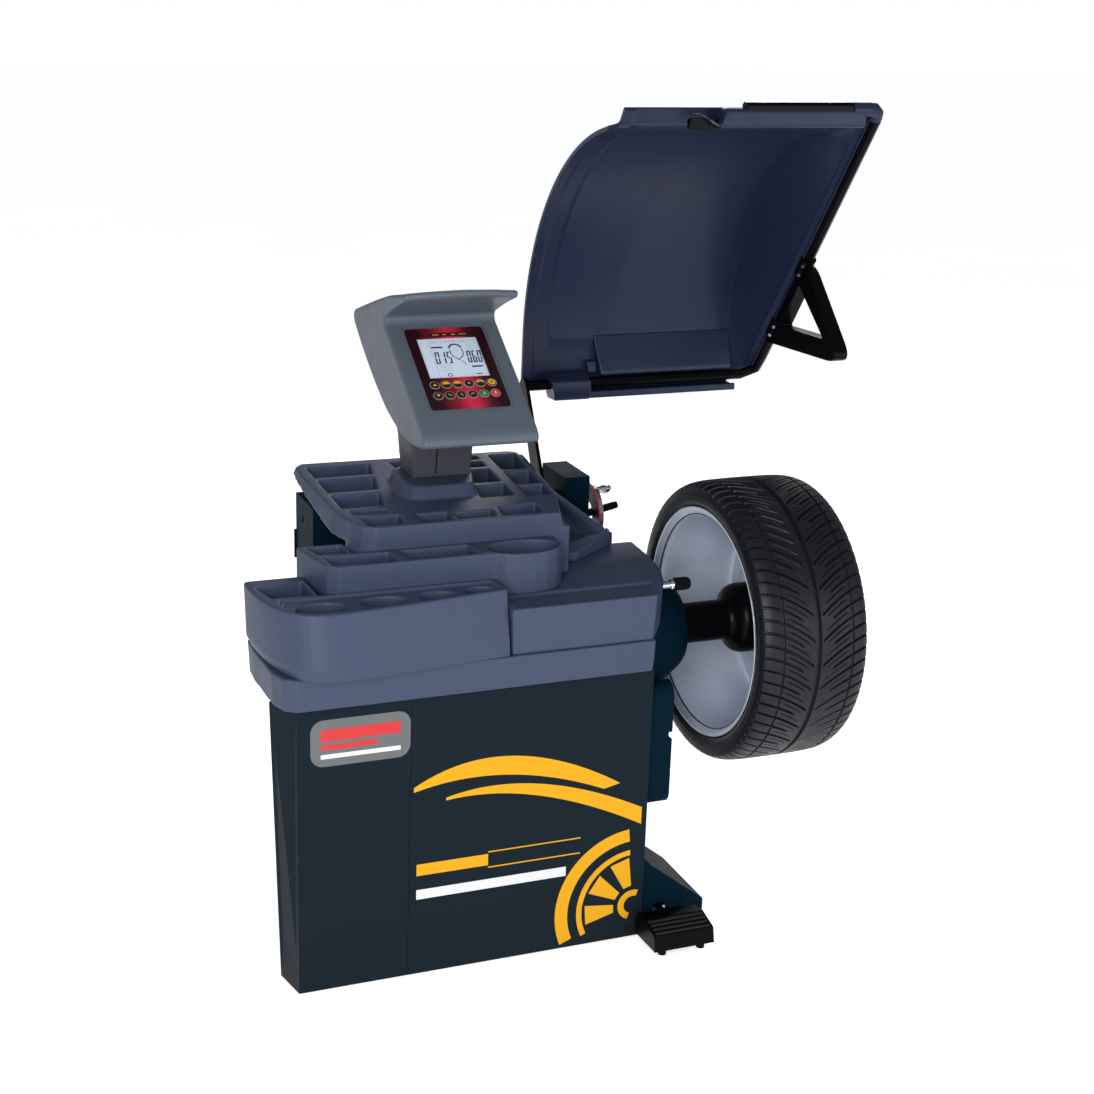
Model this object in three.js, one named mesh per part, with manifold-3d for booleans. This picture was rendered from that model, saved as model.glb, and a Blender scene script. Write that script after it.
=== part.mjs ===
// Workshop wheel balancer with its guard raised and a wheel on the spindle.
// Millimetres. +X runs along the spindle towards the wheel, +Y to the back, +Z up.
// The drawing datum is the floor under the front panel's left edge. The finished
// group is shifted so that its origin is the middle of its footprint.
import * as THREE from 'three';
import { mergeVertices } from 'three/addons/utils/BufferGeometryUtils.js';
import Module from 'manifold-3d';

const wasm = await Module();
wasm.setup();

// ---------- driving dimensions ----------
const GAP = 0.3;                      // clearance between touching pieces
const SHEET = 3;                      // folded steel thickness
const WALL = 4;                       // moulded plastic thickness

const PANEL_WIDTH = 740;
const PANEL_BOTTOM = 4;
const PANEL_TOP = 606;
const COLUMN = { x0: 118, x1: 736, y0: 62, y1: 600, z0: 16, z1: 606 };
const REAR = { x0: 158, x1: 664, y0: 462, y1: 600, z0: 607, z1: 855 };

const SKIRT_BOTTOM = 614;
const BAND_Z = 681;                   // joint between the skirt and the mouldings on it
const DECK_Z = 776;
const DECK_RECESS = 5;
const FRONT_RIM_Z = 810;
const MIDDLE_TOP_Z = 860;
const UPPER_TOP_Z = 906;
const MIDDLE_FRONT_Y = 61;
const UPPER_FRONT_Y = 143;
const FRONT_TRAY_RIGHT = 414;
const TRAY_BACK_Y = 206;              // back of the front and middle trays
const DECK_LEFT = FRONT_TRAY_RIGHT + 2;
const POCKET_DEPTH = 34;
const UPPER_SEAT_X = 150;
// Oval cups along the front tray: centre x and y, half the width, half the depth.
const FRONT_CUPS = [[48, 0, 48, 33], [172, 4, 44, 30], [279, 8, 37, 26], [367, 14, 31, 24]];

// Weight pockets of the upper tray, each a quad of [x, y] corners.
const LEFT_ROWS = [[524, 606], [406, 504], [288, 386]];
const INNER_ROWS = [[578, 610], [518, 562], [397, 500], [288, 378]];
const OUTER_ROWS = [[482, 606], [366, 470], [276, 356]];
const leftEdge = (y) => 171 + (y - 280) * 0.035;
const leftDivider = (y) => 257 + (y - 276) * 0.2;
const innerLeft = (y) => 466 + (y - 283) * 0.22;
const innerRight = (y) => 540 + (y - 272) * 0.09;
const outerLeft = (y) => 564 + (y - 265) * 0.1;
const outerRight = (y) => 618 + (y - 270) * 0.13;
const between = (left, right) => ([y0, y1]) => [
  [left(y0), y0], [right(y0), y0], [right(y1), y1], [left(y1), y1],
];
const UPPER_POCKETS = [
  ...LEFT_ROWS.map(between(leftEdge, leftDivider)),
  ...INNER_ROWS.map(between(innerLeft, innerRight)),
  ...OUTER_ROWS.map(between(outerLeft, outerRight)),
  [[183, 238], [250, 238], [256, 270], [180, 270]],
  [[192, 158], [262, 158], [268, 222], [186, 222]],
  [[374, 486], [486, 486], [500, 606], [366, 606]],
  [[294, 156], [360, 156], [366, 212], [300, 212]],
  [[372, 156], [452, 156], [458, 206], [378, 206]],
  [[466, 156], [556, 158], [562, 226], [478, 216]],
];
// The raised collar round the foot of the display's neck.
const COLLAR_FOOT = [
  [440, 292], [462, 296], [472, 330], [488, 392], [494, 430], [490, 478], [344, 478], [322, 468], [312, 400],
  [306, 330], [318, 300], [342, 292],
];
const COLLAR_TOP = [
  [438, 312], [456, 318], [466, 340], [482, 392], [488, 430], [486, 474], [348, 474], [332, 464], [326, 400],
  [322, 344], [332, 320], [350, 312],
];
const COLLAR_RISE = 26;

const SPINDLE_Y = 169;
const SPINDLE_Z = 628;
const FLANGE_FACE_X = 1046;           // where the wheel disc seats
const SHAFT_RADIUS = 20;
const COVER_RADIUS = 135;

const RIM_INNER_X = 925;              // flange of the rim nearest the cabinet
const RIM_WIDTH = 236;
const RIM_RADIUS = 247;
const TYRE_RADIUS = 301;
const BEAD_RADIUS = 229;
const WHEEL_SIDES = 32;
const PULLEY_RADIUS = 42;

const GUARD_AXIS = { y: 560, z: 815 };
const GUARD_X0 = 715;
const GUARD_X1 = 1236;
const GUARD_RADIUS = 528;
const GUARD_CENTRE = { y: 180, z: 1130 };
const GUARD_SHEET = 4;
const CHORD_X = 1276;                 // open edge of the guard's end wall
const TUBE_RADIUS = 12;
const TUBE_FOOT = { y: 680, z: 1040 };
const TUBE_HEAD = { y: 212, z: 1694 };

const LIP = { x: 416, y: 150, z: 1072 };       // lower edge of the display face
const FACE_TILT = 0.592;                       // the face's slope above horizontal, radians
const HEAD_WIDTH = 240;
const WINDOW = { x: 84, y0: 76, y1: 300 };      // opening in the face, half its width and its ends
const LCD = { x0: -64, x1: 64, y0: 161, y1: 273 };
const KEY_ROWS = [142, 113];
const KEY_PITCH = 24;
const KEYS_PER_ROW = 6;
const KEY_RADIUS = 8.8;
const BOARD_Z = -26;                            // back of the circuit board behind the face

const SWITCH = { x: 250, z: 740 };
const GAUGE = { y: 78, z: 752 };
const PEDAL_PIVOT = { y: 40, z: 48 };
const MOTOR = { x: 300, y: 400, z: 500 };
const PEG = { x: 802, y: 560, z: 768 };
const TURN = 2 * Math.PI;

// ---------- finishes ----------
const finish = (color, roughness, metalness) =>
  new THREE.MeshStandardMaterial({ color, roughness, metalness });
const PAINT = finish(0x1a2226, 0.45, 0.2);
const TEAL = finish(0x12333a, 0.5, 0.2);
const MOULDING = finish(0x4b5166, 0.6, 0);
const HEAD_PLASTIC = finish(0x5d626b, 0.5, 0);
const GUARD_PLASTIC = finish(0x1c2440, 0.5, 0);
const BLACK = finish(0x0b0c0e, 0.4, 0.1);
const STEEL = finish(0xb5b9bd, 0.3, 1);
const ALUMINIUM = finish(0xc9ccd2, 0.35, 1);
const RUBBER = finish(0x1b1c1e, 0.85, 0);
const BOARD = finish(0x1f5a3a, 0.6, 0);
const MEMBRANE = finish(0xa5161c, 0.4, 0);
const SCREEN = finish(0xcdd5d8, 0.2, 0);
const KEY_GREY = finish(0x3a3226, 0.45, 0);
const KEY_GREEN = finish(0x2f9a4a, 0.45, 0);
const KEY_RED = finish(0xd02a2a, 0.45, 0);

const machine = new THREE.Group();

function place(name, geometry, material, parent = machine) {
  const mesh = new THREE.Mesh(geometry, material);
  mesh.name = name;
  parent.add(mesh);
  return mesh;
}

// ---------- solids ----------
function toSolid(geometry) {
  const bare = geometry.index ? geometry.toNonIndexed() : geometry.clone();
  bare.deleteAttribute('normal');
  bare.deleteAttribute('uv');
  const merged = mergeVertices(bare, 1e-4);
  return new wasm.Manifold(new wasm.Mesh({
    numProp: 3,
    vertProperties: new Float32Array(merged.attributes.position.array),
    triVerts: new Uint32Array(merged.index.array),
  }));
}

function toGeometry(solid) {
  const mesh = solid.getMesh();
  const geometry = new THREE.BufferGeometry();
  geometry.setAttribute('position', new THREE.BufferAttribute(mesh.vertProperties, 3));
  geometry.setIndex(new THREE.BufferAttribute(mesh.triVerts, 1));
  geometry.computeVertexNormals();
  return geometry;
}

function cut(body, ...tools) {
  return toGeometry(tools.reduce((solid, tool) => solid.subtract(toSolid(tool)), toSolid(body)));
}

function join(body, ...others) {
  return toGeometry(others.reduce((solid, other) => solid.add(toSolid(other)), toSolid(body)));
}

function overlapOf(a, b) {
  return toGeometry(toSolid(a).intersect(toSolid(b)));
}

function box(x0, x1, y0, y1, z0, z1) {
  const geometry = new THREE.BoxGeometry(x1 - x0, y1 - y0, z1 - z0);
  return geometry.translate((x0 + x1) / 2, (y0 + y1) / 2, (z0 + z1) / 2);
}

// A flat outline in the XY plane raised from z0 to z1.
function prism(outline, z0, z1, curveSegments = 2) {
  const shape = outline instanceof THREE.Shape ? outline : new THREE.Shape(outline.map(toVector));
  const options = { depth: z1 - z0, bevelEnabled: false, curveSegments };
  return new THREE.ExtrudeGeometry(shape, options).translate(0, 0, z0);
}

function toVector([x, y]) {
  return new THREE.Vector2(x, y);
}

// A flat outline given as [y, z] pairs, or a shape in those axes, run from x0 to x1.
function prismAlongX(outline, x0, x1, curveSegments = 2) {
  const geometry = prism(outline, x0, x1, curveSegments);
  return geometry.rotateY(Math.PI / 2).rotateX(Math.PI / 2);
}

function roundedOutline(x0, x1, y0, y1, radius) {
  const shape = new THREE.Shape();
  shape.absarc(x1 - radius, y1 - radius, radius, 0, TURN / 4);
  shape.absarc(x0 + radius, y1 - radius, radius, TURN / 4, TURN / 2);
  shape.absarc(x0 + radius, y0 + radius, radius, TURN / 2, 3 * TURN / 4);
  shape.absarc(x1 - radius, y0 + radius, radius, 3 * TURN / 4, TURN);
  return shape;
}

function ovalOutline(x, y, halfWidth, halfDepth) {
  const shape = new THREE.Shape();
  shape.absellipse(x, y, halfWidth, halfDepth, 0, TURN);
  return shape;
}

// A turned piece: [radius, station] pairs, stations measured along X from x.
function turned(profile, x, y, z, segments = 40) {
  const geometry = new THREE.LatheGeometry(profile.map(toVector), segments);
  return geometry.rotateZ(-Math.PI / 2).translate(x, y, z);
}

function rod(radius, x0, x1, y, z, segments = 20) {
  return turned([[0, 0], [radius, 0], [radius, x1 - x0], [0, x1 - x0]], x0, y, z, segments);
}

function ring(inner, outer, x0, x1, y, z, segments = 32) {
  const length = x1 - x0;
  const profile = [[inner, 0], [outer, 0], [outer, length], [inner, length], [inner, 0]];
  return turned(profile, x0, y, z, segments);
}

function post(radius, x, y, z0, z1, segments = 20) {
  const geometry = new THREE.CylinderGeometry(radius, radius, z1 - z0, segments);
  return geometry.rotateX(Math.PI / 2).translate(x, y, (z0 + z1) / 2);
}

// A solid between two outlines with the same number of points, anticlockwise from above.
function tapered(lower, upper, z0, z1) {
  const count = lower.length;
  const contour = lower.map(toVector);
  const caps = THREE.ShapeUtils.triangulateShape(contour, []);
  const points = [...lower.map(([x, y]) => [x, y, z0]), ...upper.map(([x, y]) => [x, y, z1])];
  const faces = [];
  for (const [a, b, c] of caps) {
    faces.push([c, b, a], [a + count, b + count, c + count]);
  }
  for (let i = 0; i < count; i += 1) {
    const next = (i + 1) % count;
    faces.push([i, next, next + count], [i, next + count, i + count]);
  }
  return fromFaces(points, faces);
}

function fromFaces(points, faces) {
  const geometry = new THREE.BufferGeometry();
  geometry.setAttribute('position', new THREE.Float32BufferAttribute(points.flat(), 3));
  geometry.setIndex(faces.flat());
  geometry.computeVertexNormals();
  return geometry;
}

// A skin of even thickness laid over a grid of points, thickened against the grid's normal.
function skin(rows, thickness) {
  const height = rows.length;
  const width = rows[0].length;
  const back = rows.map((row, i) => row.map((point, j) => {
    const along = direction(row[Math.max(j - 1, 0)], row[Math.min(j + 1, width - 1)]);
    const across = direction(rows[Math.max(i - 1, 0)][j], rows[Math.min(i + 1, height - 1)][j]);
    const normal = along.cross(across).normalize();
    return [0, 1, 2].map((axis) => point[axis] - normal.getComponent(axis) * thickness);
  }));
  const points = [...rows.flat(), ...back.flat()];
  const at = (i, j, side) => side * height * width + i * width + j;
  const faces = [];
  const quad = (a, b, c, d) => faces.push([a, b, c], [a, c, d]);
  for (let i = 0; i < height - 1; i += 1) {
    for (let j = 0; j < width - 1; j += 1) {
      quad(at(i, j, 0), at(i, j + 1, 0), at(i + 1, j + 1, 0), at(i + 1, j, 0));
      quad(at(i, j, 1), at(i + 1, j, 1), at(i + 1, j + 1, 1), at(i, j + 1, 1));
    }
    quad(at(i, 0, 0), at(i + 1, 0, 0), at(i + 1, 0, 1), at(i, 0, 1));
    quad(at(i, width - 1, 0), at(i, width - 1, 1), at(i + 1, width - 1, 1), at(i + 1, width - 1, 0));
  }
  for (let j = 0; j < width - 1; j += 1) {
    quad(at(0, j, 0), at(0, j, 1), at(0, j + 1, 1), at(0, j + 1, 0));
    quad(at(height - 1, j, 0), at(height - 1, j + 1, 0), at(height - 1, j + 1, 1), at(height - 1, j, 1));
  }
  return fromFaces(points, faces);
}

function direction(from, to) {
  return new THREE.Vector3(...to).sub(new THREE.Vector3(...from));
}

// A round tube through a list of points, its corners rounded by a set radius.
function bentTube(corners, bend, radius) {
  const path = new THREE.CurvePath();
  let last = new THREE.Vector3(...corners[0]);
  for (let i = 1; i < corners.length - 1; i += 1) {
    const corner = new THREE.Vector3(...corners[i]);
    const before = new THREE.Vector3(...corners[i - 1]).sub(corner).setLength(bend).add(corner);
    const after = new THREE.Vector3(...corners[i + 1]).sub(corner).setLength(bend).add(corner);
    path.add(new THREE.LineCurve3(last, before));
    path.add(new THREE.QuadraticBezierCurve3(before, corner, after));
    last = after;
  }
  path.add(new THREE.LineCurve3(last, new THREE.Vector3(...corners.at(-1))));
  const section = new THREE.Shape();
  section.absarc(0, 0, radius, 0, TURN);
  const options = { steps: 40, extrudePath: path, curveSegments: 4, bevelEnabled: false };
  return new THREE.ExtrudeGeometry(section, options);
}

// ---------- cabinet ----------
function frontPanel() {
  const lower = [[740, 60], [737, 60], [737, 3], [3.5, 3], [-13, 82], [-16, 81], [0, 0], [740, 0]];
  const upper = [[740, 60], [737, 60], [737, 3], [2, 3], [-35, 62], [-38, 60], [0, 0], [740, 0]];
  return tapered(lower, upper, PANEL_BOTTOM, PANEL_TOP);
}

function column() {
  const { x0, x1, y0, y1, z0, z1 } = COLUMN;
  const shell = cut(
    box(x0, x1, y0, y1, z0, z1),
    box(x0 + SHEET, x1 - SHEET, y0 - 1, y1 - SHEET, z0 + SHEET, z1 + 1),
    box(x1 - 10, x1 + 1, SPINDLE_Y - 62, SPINDLE_Y + 62, SPINDLE_Z - 62, z1 + 1),
  );
  const shelf = cut(box(x0 + 1, x1 - 1, 90, 225, 548, 560), box(246, 300, 80, 230, 540, 570));
  const motorPlate = box(MOTOR.x - 4, MOTOR.x + 150, 330, y1 - 1, 428, 440);
  return join(shell, shelf, motorPlate);
}

function rearHousing() {
  const { x0, x1, y0, y1, z0, z1 } = REAR;
  const inside = box(x0 + SHEET, x1 - SHEET, y0 + SHEET, y1 - SHEET, z0 - 1, z1 - SHEET);
  return cut(box(x0, x1, y0, y1, z0, z1), inside, rod(7, x0 - 1, x0 + 5, 540, 812, 6));
}

function outrigger() {
  const profile = [[PANEL_WIDTH + 1, 18], [888, 18], [888, 58], [760, 158], [PANEL_WIDTH + 1, 158]];
  const body = prism(profile, 0, 200).rotateX(Math.PI / 2).translate(0, 210, 0);
  const inside = box(PANEL_WIDTH + SHEET + 1, 885, 13, 214, 10, 55);
  const pivotBore = rod(8.3, 700, 900, PEDAL_PIVOT.y, PEDAL_PIVOT.z, 16);
  const pedalSlot = box(770, 800, 5, 60, 20, 66);
  const holes = [[767, 46], [828, 46]].map(([x, z]) => post(4.5, x, -z, -20, 20, 12)
    .rotateX(Math.PI / 2).translate(0, 10, 0));
  return cut(body, inside, pivotBore, pedalSlot, ...holes);
}

function foot(x, y, top) {
  const profile = [[0, 0], [27, 0], [30, 4], [26, 13], [9, 15.5], [9, top], [0, top]];
  return new THREE.LatheGeometry(profile.map(toVector), 16).rotateX(Math.PI / 2).translate(x, y, 0);
}

function sideCover() {
  const outer = prism(roundedOutline(22, 322, 286, 556, 26), PANEL_WIDTH, 800)
    .rotateX(Math.PI / 2).rotateZ(Math.PI / 2);
  const inner = prism(roundedOutline(26, 318, 290, 552, 22), PANEL_WIDTH - 1, 796)
    .rotateX(Math.PI / 2).rotateZ(Math.PI / 2);
  return cut(outer, inner, box(792, 801, 0, 340, 434, 450), coverClearance());
}

function spindleCover() {
  const outer = [[COVER_RADIUS, 0], [COVER_RADIUS, 20], [COVER_RADIUS - 17, 66], [88, 112], [66, 118]];
  const inner = [[66, 113], [86, 107], [COVER_RADIUS - 21, 62], [COVER_RADIUS - WALL, 18]];
  const base = [COVER_RADIUS - WALL, 0];
  return turned([base, ...outer, ...inner, base], 741, SPINDLE_Y, SPINDLE_Z, 28);
}

// ---------- top mouldings ----------
function coverClearance() {
  return rod(COVER_RADIUS + 1.5, 650, 900, SPINDLE_Y, SPINDLE_Z, 28);
}

function skirtOutline(inset) {
  return [
    [724 - inset, -37 + inset], [740 - inset, 62], [740 - inset, 452 - inset], [152 + inset, 452 - inset],
    [112 + inset, TRAY_BACK_Y - inset], [-44 + inset, TRAY_BACK_Y - inset], [-47 + inset, 150],
    [-43 + inset, 20], [-30 + inset, -22 + inset], [-8 + inset, -37 + inset],
  ];
}

function traySkirt() {
  const outer = tapered(skirtOutline(3), skirtOutline(0), SKIRT_BOTTOM, BAND_Z);
  const inner = tapered(skirtOutline(WALL + 3), skirtOutline(WALL), SKIRT_BOTTOM - 1, BAND_Z - WALL);
  return cut(outer, inner, coverClearance());
}

function frontTrayOutline(frontLeft, frontRight, left, wall = 0) {
  const right = FRONT_TRAY_RIGHT - wall;
  const back = TRAY_BACK_Y - 28 - wall;
  const shape = new THREE.Shape();
  shape.moveTo(right, frontRight + wall);
  shape.lineTo(right, back);
  shape.lineTo(left + wall + 10, back);
  shape.quadraticCurveTo(left + wall, back, left + wall, back - 16);
  const front = frontLeft + wall;
  shape.quadraticCurveTo(left + wall + 2, front, left + 108, front);
  shape.bezierCurveTo(left + 190, front - 2, 300, frontRight + wall - 12, right, frontRight + wall);
  return shape.getPoints(15).slice(0, -1).map((point) => [point.x, point.y]);
}

function frontTray() {
  const foot = [-73, -36, -44];
  const belly = [-75, -34, -55];
  const rim = [-55, -12, -58];
  const bellyZ = BAND_Z + 24;
  const body = join(
    tapered(frontTrayOutline(...foot), frontTrayOutline(...belly), BAND_Z + GAP, bellyZ),
    tapered(frontTrayOutline(...belly), frontTrayOutline(...rim), bellyZ, FRONT_RIM_Z),
  );
  const cavity = tapered(frontTrayOutline(...foot, 10), frontTrayOutline(...foot, 16),
    BAND_Z - 1, FRONT_RIM_Z - 66);
  const channelPlan = [
    [404, 0], [404, 50], [-14, 50], [-22, 30], [-18, 0], [-2, -24], [30, -38], [110, -38], [219, -30],
    [340, -14],
  ];
  const channel = prism(channelPlan, FRONT_RIM_Z - 6, FRONT_RIM_Z + 1);
  const cups = FRONT_CUPS.map(
    (oval) => prism(ovalOutline(...oval), FRONT_RIM_Z - 58, FRONT_RIM_Z + 1, 10));
  const pocket = tapered([[50, 68], [50, 150], [-40, 134], [-26, 68]], [[52, 66], [52, 152], [-43, 136],
    [-28, 66]], FRONT_RIM_Z - 40, FRONT_RIM_Z + 1);
  const seat = box(60, FRONT_TRAY_RIGHT + 1, MIDDLE_FRONT_Y - 2, TRAY_BACK_Y,
    FRONT_RIM_Z - 20, FRONT_RIM_Z + 1);
  return cut(body, cavity, channel, ...cups, pocket, seat);
}

function deckOutline(inset) {
  return [
    [DECK_LEFT + inset, -37 + inset], [722 - inset, -37 + inset], [746 - inset, 0], [773 - inset, 44],
    [798 - inset, 110], [812 - inset, 190], [820 - inset, 306 - inset], [DECK_LEFT + inset, 306 - inset],
  ];
}

function deckCover() {
  const outer = tapered(deckOutline(4), deckOutline(0), BAND_Z + GAP, DECK_Z);
  const inner = tapered(deckOutline(WALL + 4), deckOutline(WALL), BAND_Z - 1, DECK_Z - DECK_RECESS - WALL);
  const recess = prism([[430, -24], [714, -24], [748, 46], [430, 46]], DECK_Z - DECK_RECESS, DECK_Z + 1);
  const peep = post(3, 562, -6, DECK_Z - 20, DECK_Z + 1, 12);
  const gaugeBore = rod(9, 700, 830, GAUGE.y, GAUGE.z, 16);
  return cut(outer, inner, recess, peep, gaugeBore, coverClearance());
}

function middleTray() {
  const shape = new THREE.Shape();
  shape.moveTo(100, MIDDLE_FRONT_Y);
  shape.lineTo(DECK_LEFT, MIDDLE_FRONT_Y);
  shape.bezierCurveTo(440, MIDDLE_FRONT_Y - 30, 536, MIDDLE_FRONT_Y - 30, 562, MIDDLE_FRONT_Y + 16);
  shape.lineTo(568, 140);
  shape.lineTo(568, TRAY_BACK_Y);
  shape.lineTo(55, TRAY_BACK_Y);
  shape.lineTo(80, MIDDLE_FRONT_Y + 16);
  const plan = prism(shape, DECK_Z + GAP, MIDDLE_TOP_Z, 6);
  const overFrontTray = box(50, DECK_LEFT, 0, 300, DECK_Z - 1, FRONT_RIM_Z - 20 + GAP);
  const quads = [
    [[146, 146], [140, 197], [71, 197], [86, 146]],
    [[226, 70], [218, 128], [88, 134], [95, 76]],
    [[388, 72], [380, 130], [240, 130], [248, 72]],
  ];
  const pockets = quads.map((quad) => prism(quad, MIDDLE_TOP_Z - 40, MIDDLE_TOP_Z + 1));
  const bowl = prism(ovalOutline(482, 90, 72, 42), MIDDLE_TOP_Z - 46, MIDDLE_TOP_Z + 1, 12);
  const seat = box(UPPER_SEAT_X, 580, UPPER_FRONT_Y - 0.5, 210, MIDDLE_TOP_Z - 26, MIDDLE_TOP_Z + 1);
  return cut(plan, overFrontTray, ...pockets, bowl, seat);
}

// The tray slab is full depth at the front and hangs from its left edge in a band that grows shallower
// towards the back.
function upperTrayShell() {
  const floor = MIDDLE_TOP_Z - 26 + GAP;
  const slabBottom = UPPER_TOP_Z - POCKET_DEPTH - WALL;
  const lower = [
    [600, 143], [640, 280], [684, 620], [660, 640], [166, 650], [134, 626], [128, 560], [127, 280],
    [150.5, 209], [151, 186], [168, 158], [194, 143],
  ];
  const upper = [
    [584, 143], [628, 280], [672, 616], [655, 630], [180, 642], [164, 622], [158, 560], [153, 280],
    [158, 222], [164, 190], [176, 162], [200, 143],
  ];
  const inside = [
    [596, 208], [622, 280], [664, 608], [655, 618], [190, 628], [184, 616], [180, 560], [174, 280],
    [192, 208],
  ];
  const body = tapered(lower, upper, floor, UPPER_TOP_Z);
  const cavity = prism(inside, floor - 1, slabBottom);
  const bandStart = TRAY_BACK_Y + 3;
  const underBand = prismAlongX(
    [[bandStart, MIDDLE_TOP_Z + 2], [655, UPPER_TOP_Z - 14], [655, floor - 1], [bandStart, floor - 1]],
    110, 182);
  const overHousing = box(REAR.x0 - 30, REAR.x1 + 30, REAR.y0 - 4, REAR.y1 + 60, DECK_Z, REAR.z1 + GAP);
  const blockOnDeck = box(569, 606, UPPER_FRONT_Y, 304, DECK_Z + GAP, UPPER_TOP_Z - 30);
  return cut(join(cut(body, cavity, underBand), blockOnDeck, upperTrayWing()), overHousing);
}

// The right edge falls in a long ramp from the back rim to the deck, hollowed into a shallow trough.
function upperTrayWing() {
  const outline = [
    [600, 206], [650, 206], [768, 292], [702, 462], [690, 560], [684, 612], [676, 612], [640, 300],
  ];
  const trough = [[652, 262], [742, 300], [690, 440], [668, 440]];
  const ramp = [[200, DECK_Z + GAP], [360, DECK_Z + GAP], [470, 836], [612, 876], [612, 902], [300, 806],
    [200, 796]];
  const troughFloor = [[200, DECK_Z + 8], [360, DECK_Z + 12], [470, 846], [470, 920], [200, 920]];
  const body = overlapOf(prism(outline, 700, 920), prismAlongX(ramp, 560, 790));
  const hollow = overlapOf(prism(trough, 700, 920), prismAlongX(troughFloor, 560, 790));
  return cut(body, hollow);
}

function upperTray() {
  const pockets = UPPER_POCKETS.map(
    (quad) => prism(quad, UPPER_TOP_Z - POCKET_DEPTH, UPPER_TOP_Z + 1));
  const collar = tapered(COLLAR_FOOT, COLLAR_TOP, UPPER_TOP_Z - 6, UPPER_TOP_Z + COLLAR_RISE);
  const neckSeat = box(348.2, 476.2, 380.5, 468.5, UPPER_TOP_Z - 2, UPPER_TOP_Z + COLLAR_RISE + 1);
  return cut(join(upperTrayShell(), collar), ...pockets, neckSeat);
}

// ---------- display head, drawn on its own face: x across, y up the face, z out of it ----------
const face = new THREE.Group();
face.position.set(LIP.x, LIP.y, LIP.z);
face.rotation.x = FACE_TILT;

function displayHousing() {
  const shape = new THREE.Shape();
  shape.moveTo(0, 0);
  shape.lineTo(312, 0);
  shape.quadraticCurveTo(330, 6, 322, 20);
  shape.lineTo(252, 128);
  shape.quadraticCurveTo(246, 142, 262, 142);
  shape.quadraticCurveTo(330, 92, 400, 16);
  shape.lineTo(478, -96);
  shape.quadraticCurveTo(488, -128, 450, -134);
  shape.lineTo(120, -122);
  shape.quadraticCurveTo(60, -110, 28, -52);
  shape.quadraticCurveTo(-14, -12, -10, -2);
  shape.quadraticCurveTo(-8, 2, 0, 0);
  const outer = prismAlongX(shape, -HEAD_WIDTH / 2, HEAD_WIDTH / 2, 5);
  const hollow = prismAlongX([[46, -6], [104, -96], [440, -112], [456, -98], [390, -6]],
    -HEAD_WIDTH / 2 + 5, HEAD_WIDTH / 2 - 5);
  const window = prism(roundedOutline(-WINDOW.x, WINDOW.x, WINDOW.y0, WINDOW.y1, 8), -20, 1);
  return cut(outer, hollow, window);
}

function keyCentres() {
  return KEY_ROWS.flatMap((y) => Array.from({ length: KEYS_PER_ROW },
    (_, i) => [(i - (KEYS_PER_ROW - 1) / 2) * KEY_PITCH, y]));
}

function keypadPanel() {
  const edge = 0.4;
  const plate = prism(
    roundedOutline(edge - WINDOW.x, WINDOW.x - edge, WINDOW.y0 + edge, WINDOW.y1 - edge, 8 - edge), -4, -0.5);
  const lcdWindow = box(LCD.x0, LCD.x1, LCD.y0, LCD.y1, -5, 1);
  const hole = KEY_RADIUS + 0.6;
  const keyHoles = keyCentres().map(([x, y]) => prism(ovalOutline(x, y, hole, hole), -5, 1, 5));
  return cut(plate, lcdWindow, ...keyHoles);
}

function lcdScreen() {
  return box(LCD.x0 - 4, LCD.x1 + 4, LCD.y0 - 4, LCD.y1 + 4, -9, -4.3);
}

function displayBoard() {
  const board = box(-80, 80, 84, 290, BOARD_Z, BOARD_Z + 2);
  const chips = [[-50, -20, 200, 230], [10, 50, 190, 220], [-30, 30, 100, 118]].map(
    ([x0, x1, y0, y1]) => box(x0, x1, y0, y1, BOARD_Z + 1, BOARD_Z + 8));
  return join(board, ...chips);
}

function keyCap([x, y]) {
  return prism(ovalOutline(x, y, KEY_RADIUS, KEY_RADIUS), -3.6, 1.2, 5);
}

function displayNeck() {
  const foot = UPPER_TOP_Z - 1.7;
  const side = prismAlongX([[384, foot], [464, foot], [500, 1150.6], [368, 1068.5]], 300, 540);
  const front = prism([[356, 904], [468, 904], [474, 914], [480, 1000], [500, 1160], [332, 1160],
    [346, 1000], [350, 914]], 0, 220).rotateX(Math.PI / 2).translate(0, 560, 0);
  return overlapOf(side, front);
}

// ---------- spindle and wheel ----------
function spindleHousing() {
  const barrel = ring(29.9, 44, 300, 734, SPINDLE_Y, SPINDLE_Z, 32);
  const pedestal = cut(box(330, 700, 124, 214, 560.3, 610), rod(40, 300, 720, SPINDLE_Y, SPINDLE_Z, 24));
  const seats = ring(24, 31, 324, 706, SPINDLE_Y, SPINDLE_Z, 32);
  return join(barrel, pedestal, seats);
}

function bearing(x0) {
  return ring(SHAFT_RADIUS + GAP, 29.6, x0, x0 + 20, SPINDLE_Y, SPINDLE_Z, 20);
}

function spindleShaft() {
  const length = 1240 - 236;
  return turned([[0, 0], [17, 0], [SHAFT_RADIUS, 3], [SHAFT_RADIUS, length - 5], [15, length], [0, length]],
    236, SPINDLE_Y, SPINDLE_Z, 24);
}

function spindleFlange() {
  const bore = SHAFT_RADIUS + GAP;
  const x0 = 760;
  const face = FLANGE_FACE_X - x0;
  return turned([[bore, 0], [43, 0], [43, 216], [50, 222], [66, 234], [74, 250], [75, face - 2], [73, face],
    [bore, face], [bore, 0]], x0, SPINDLE_Y, SPINDLE_Z, 28);
}

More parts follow.
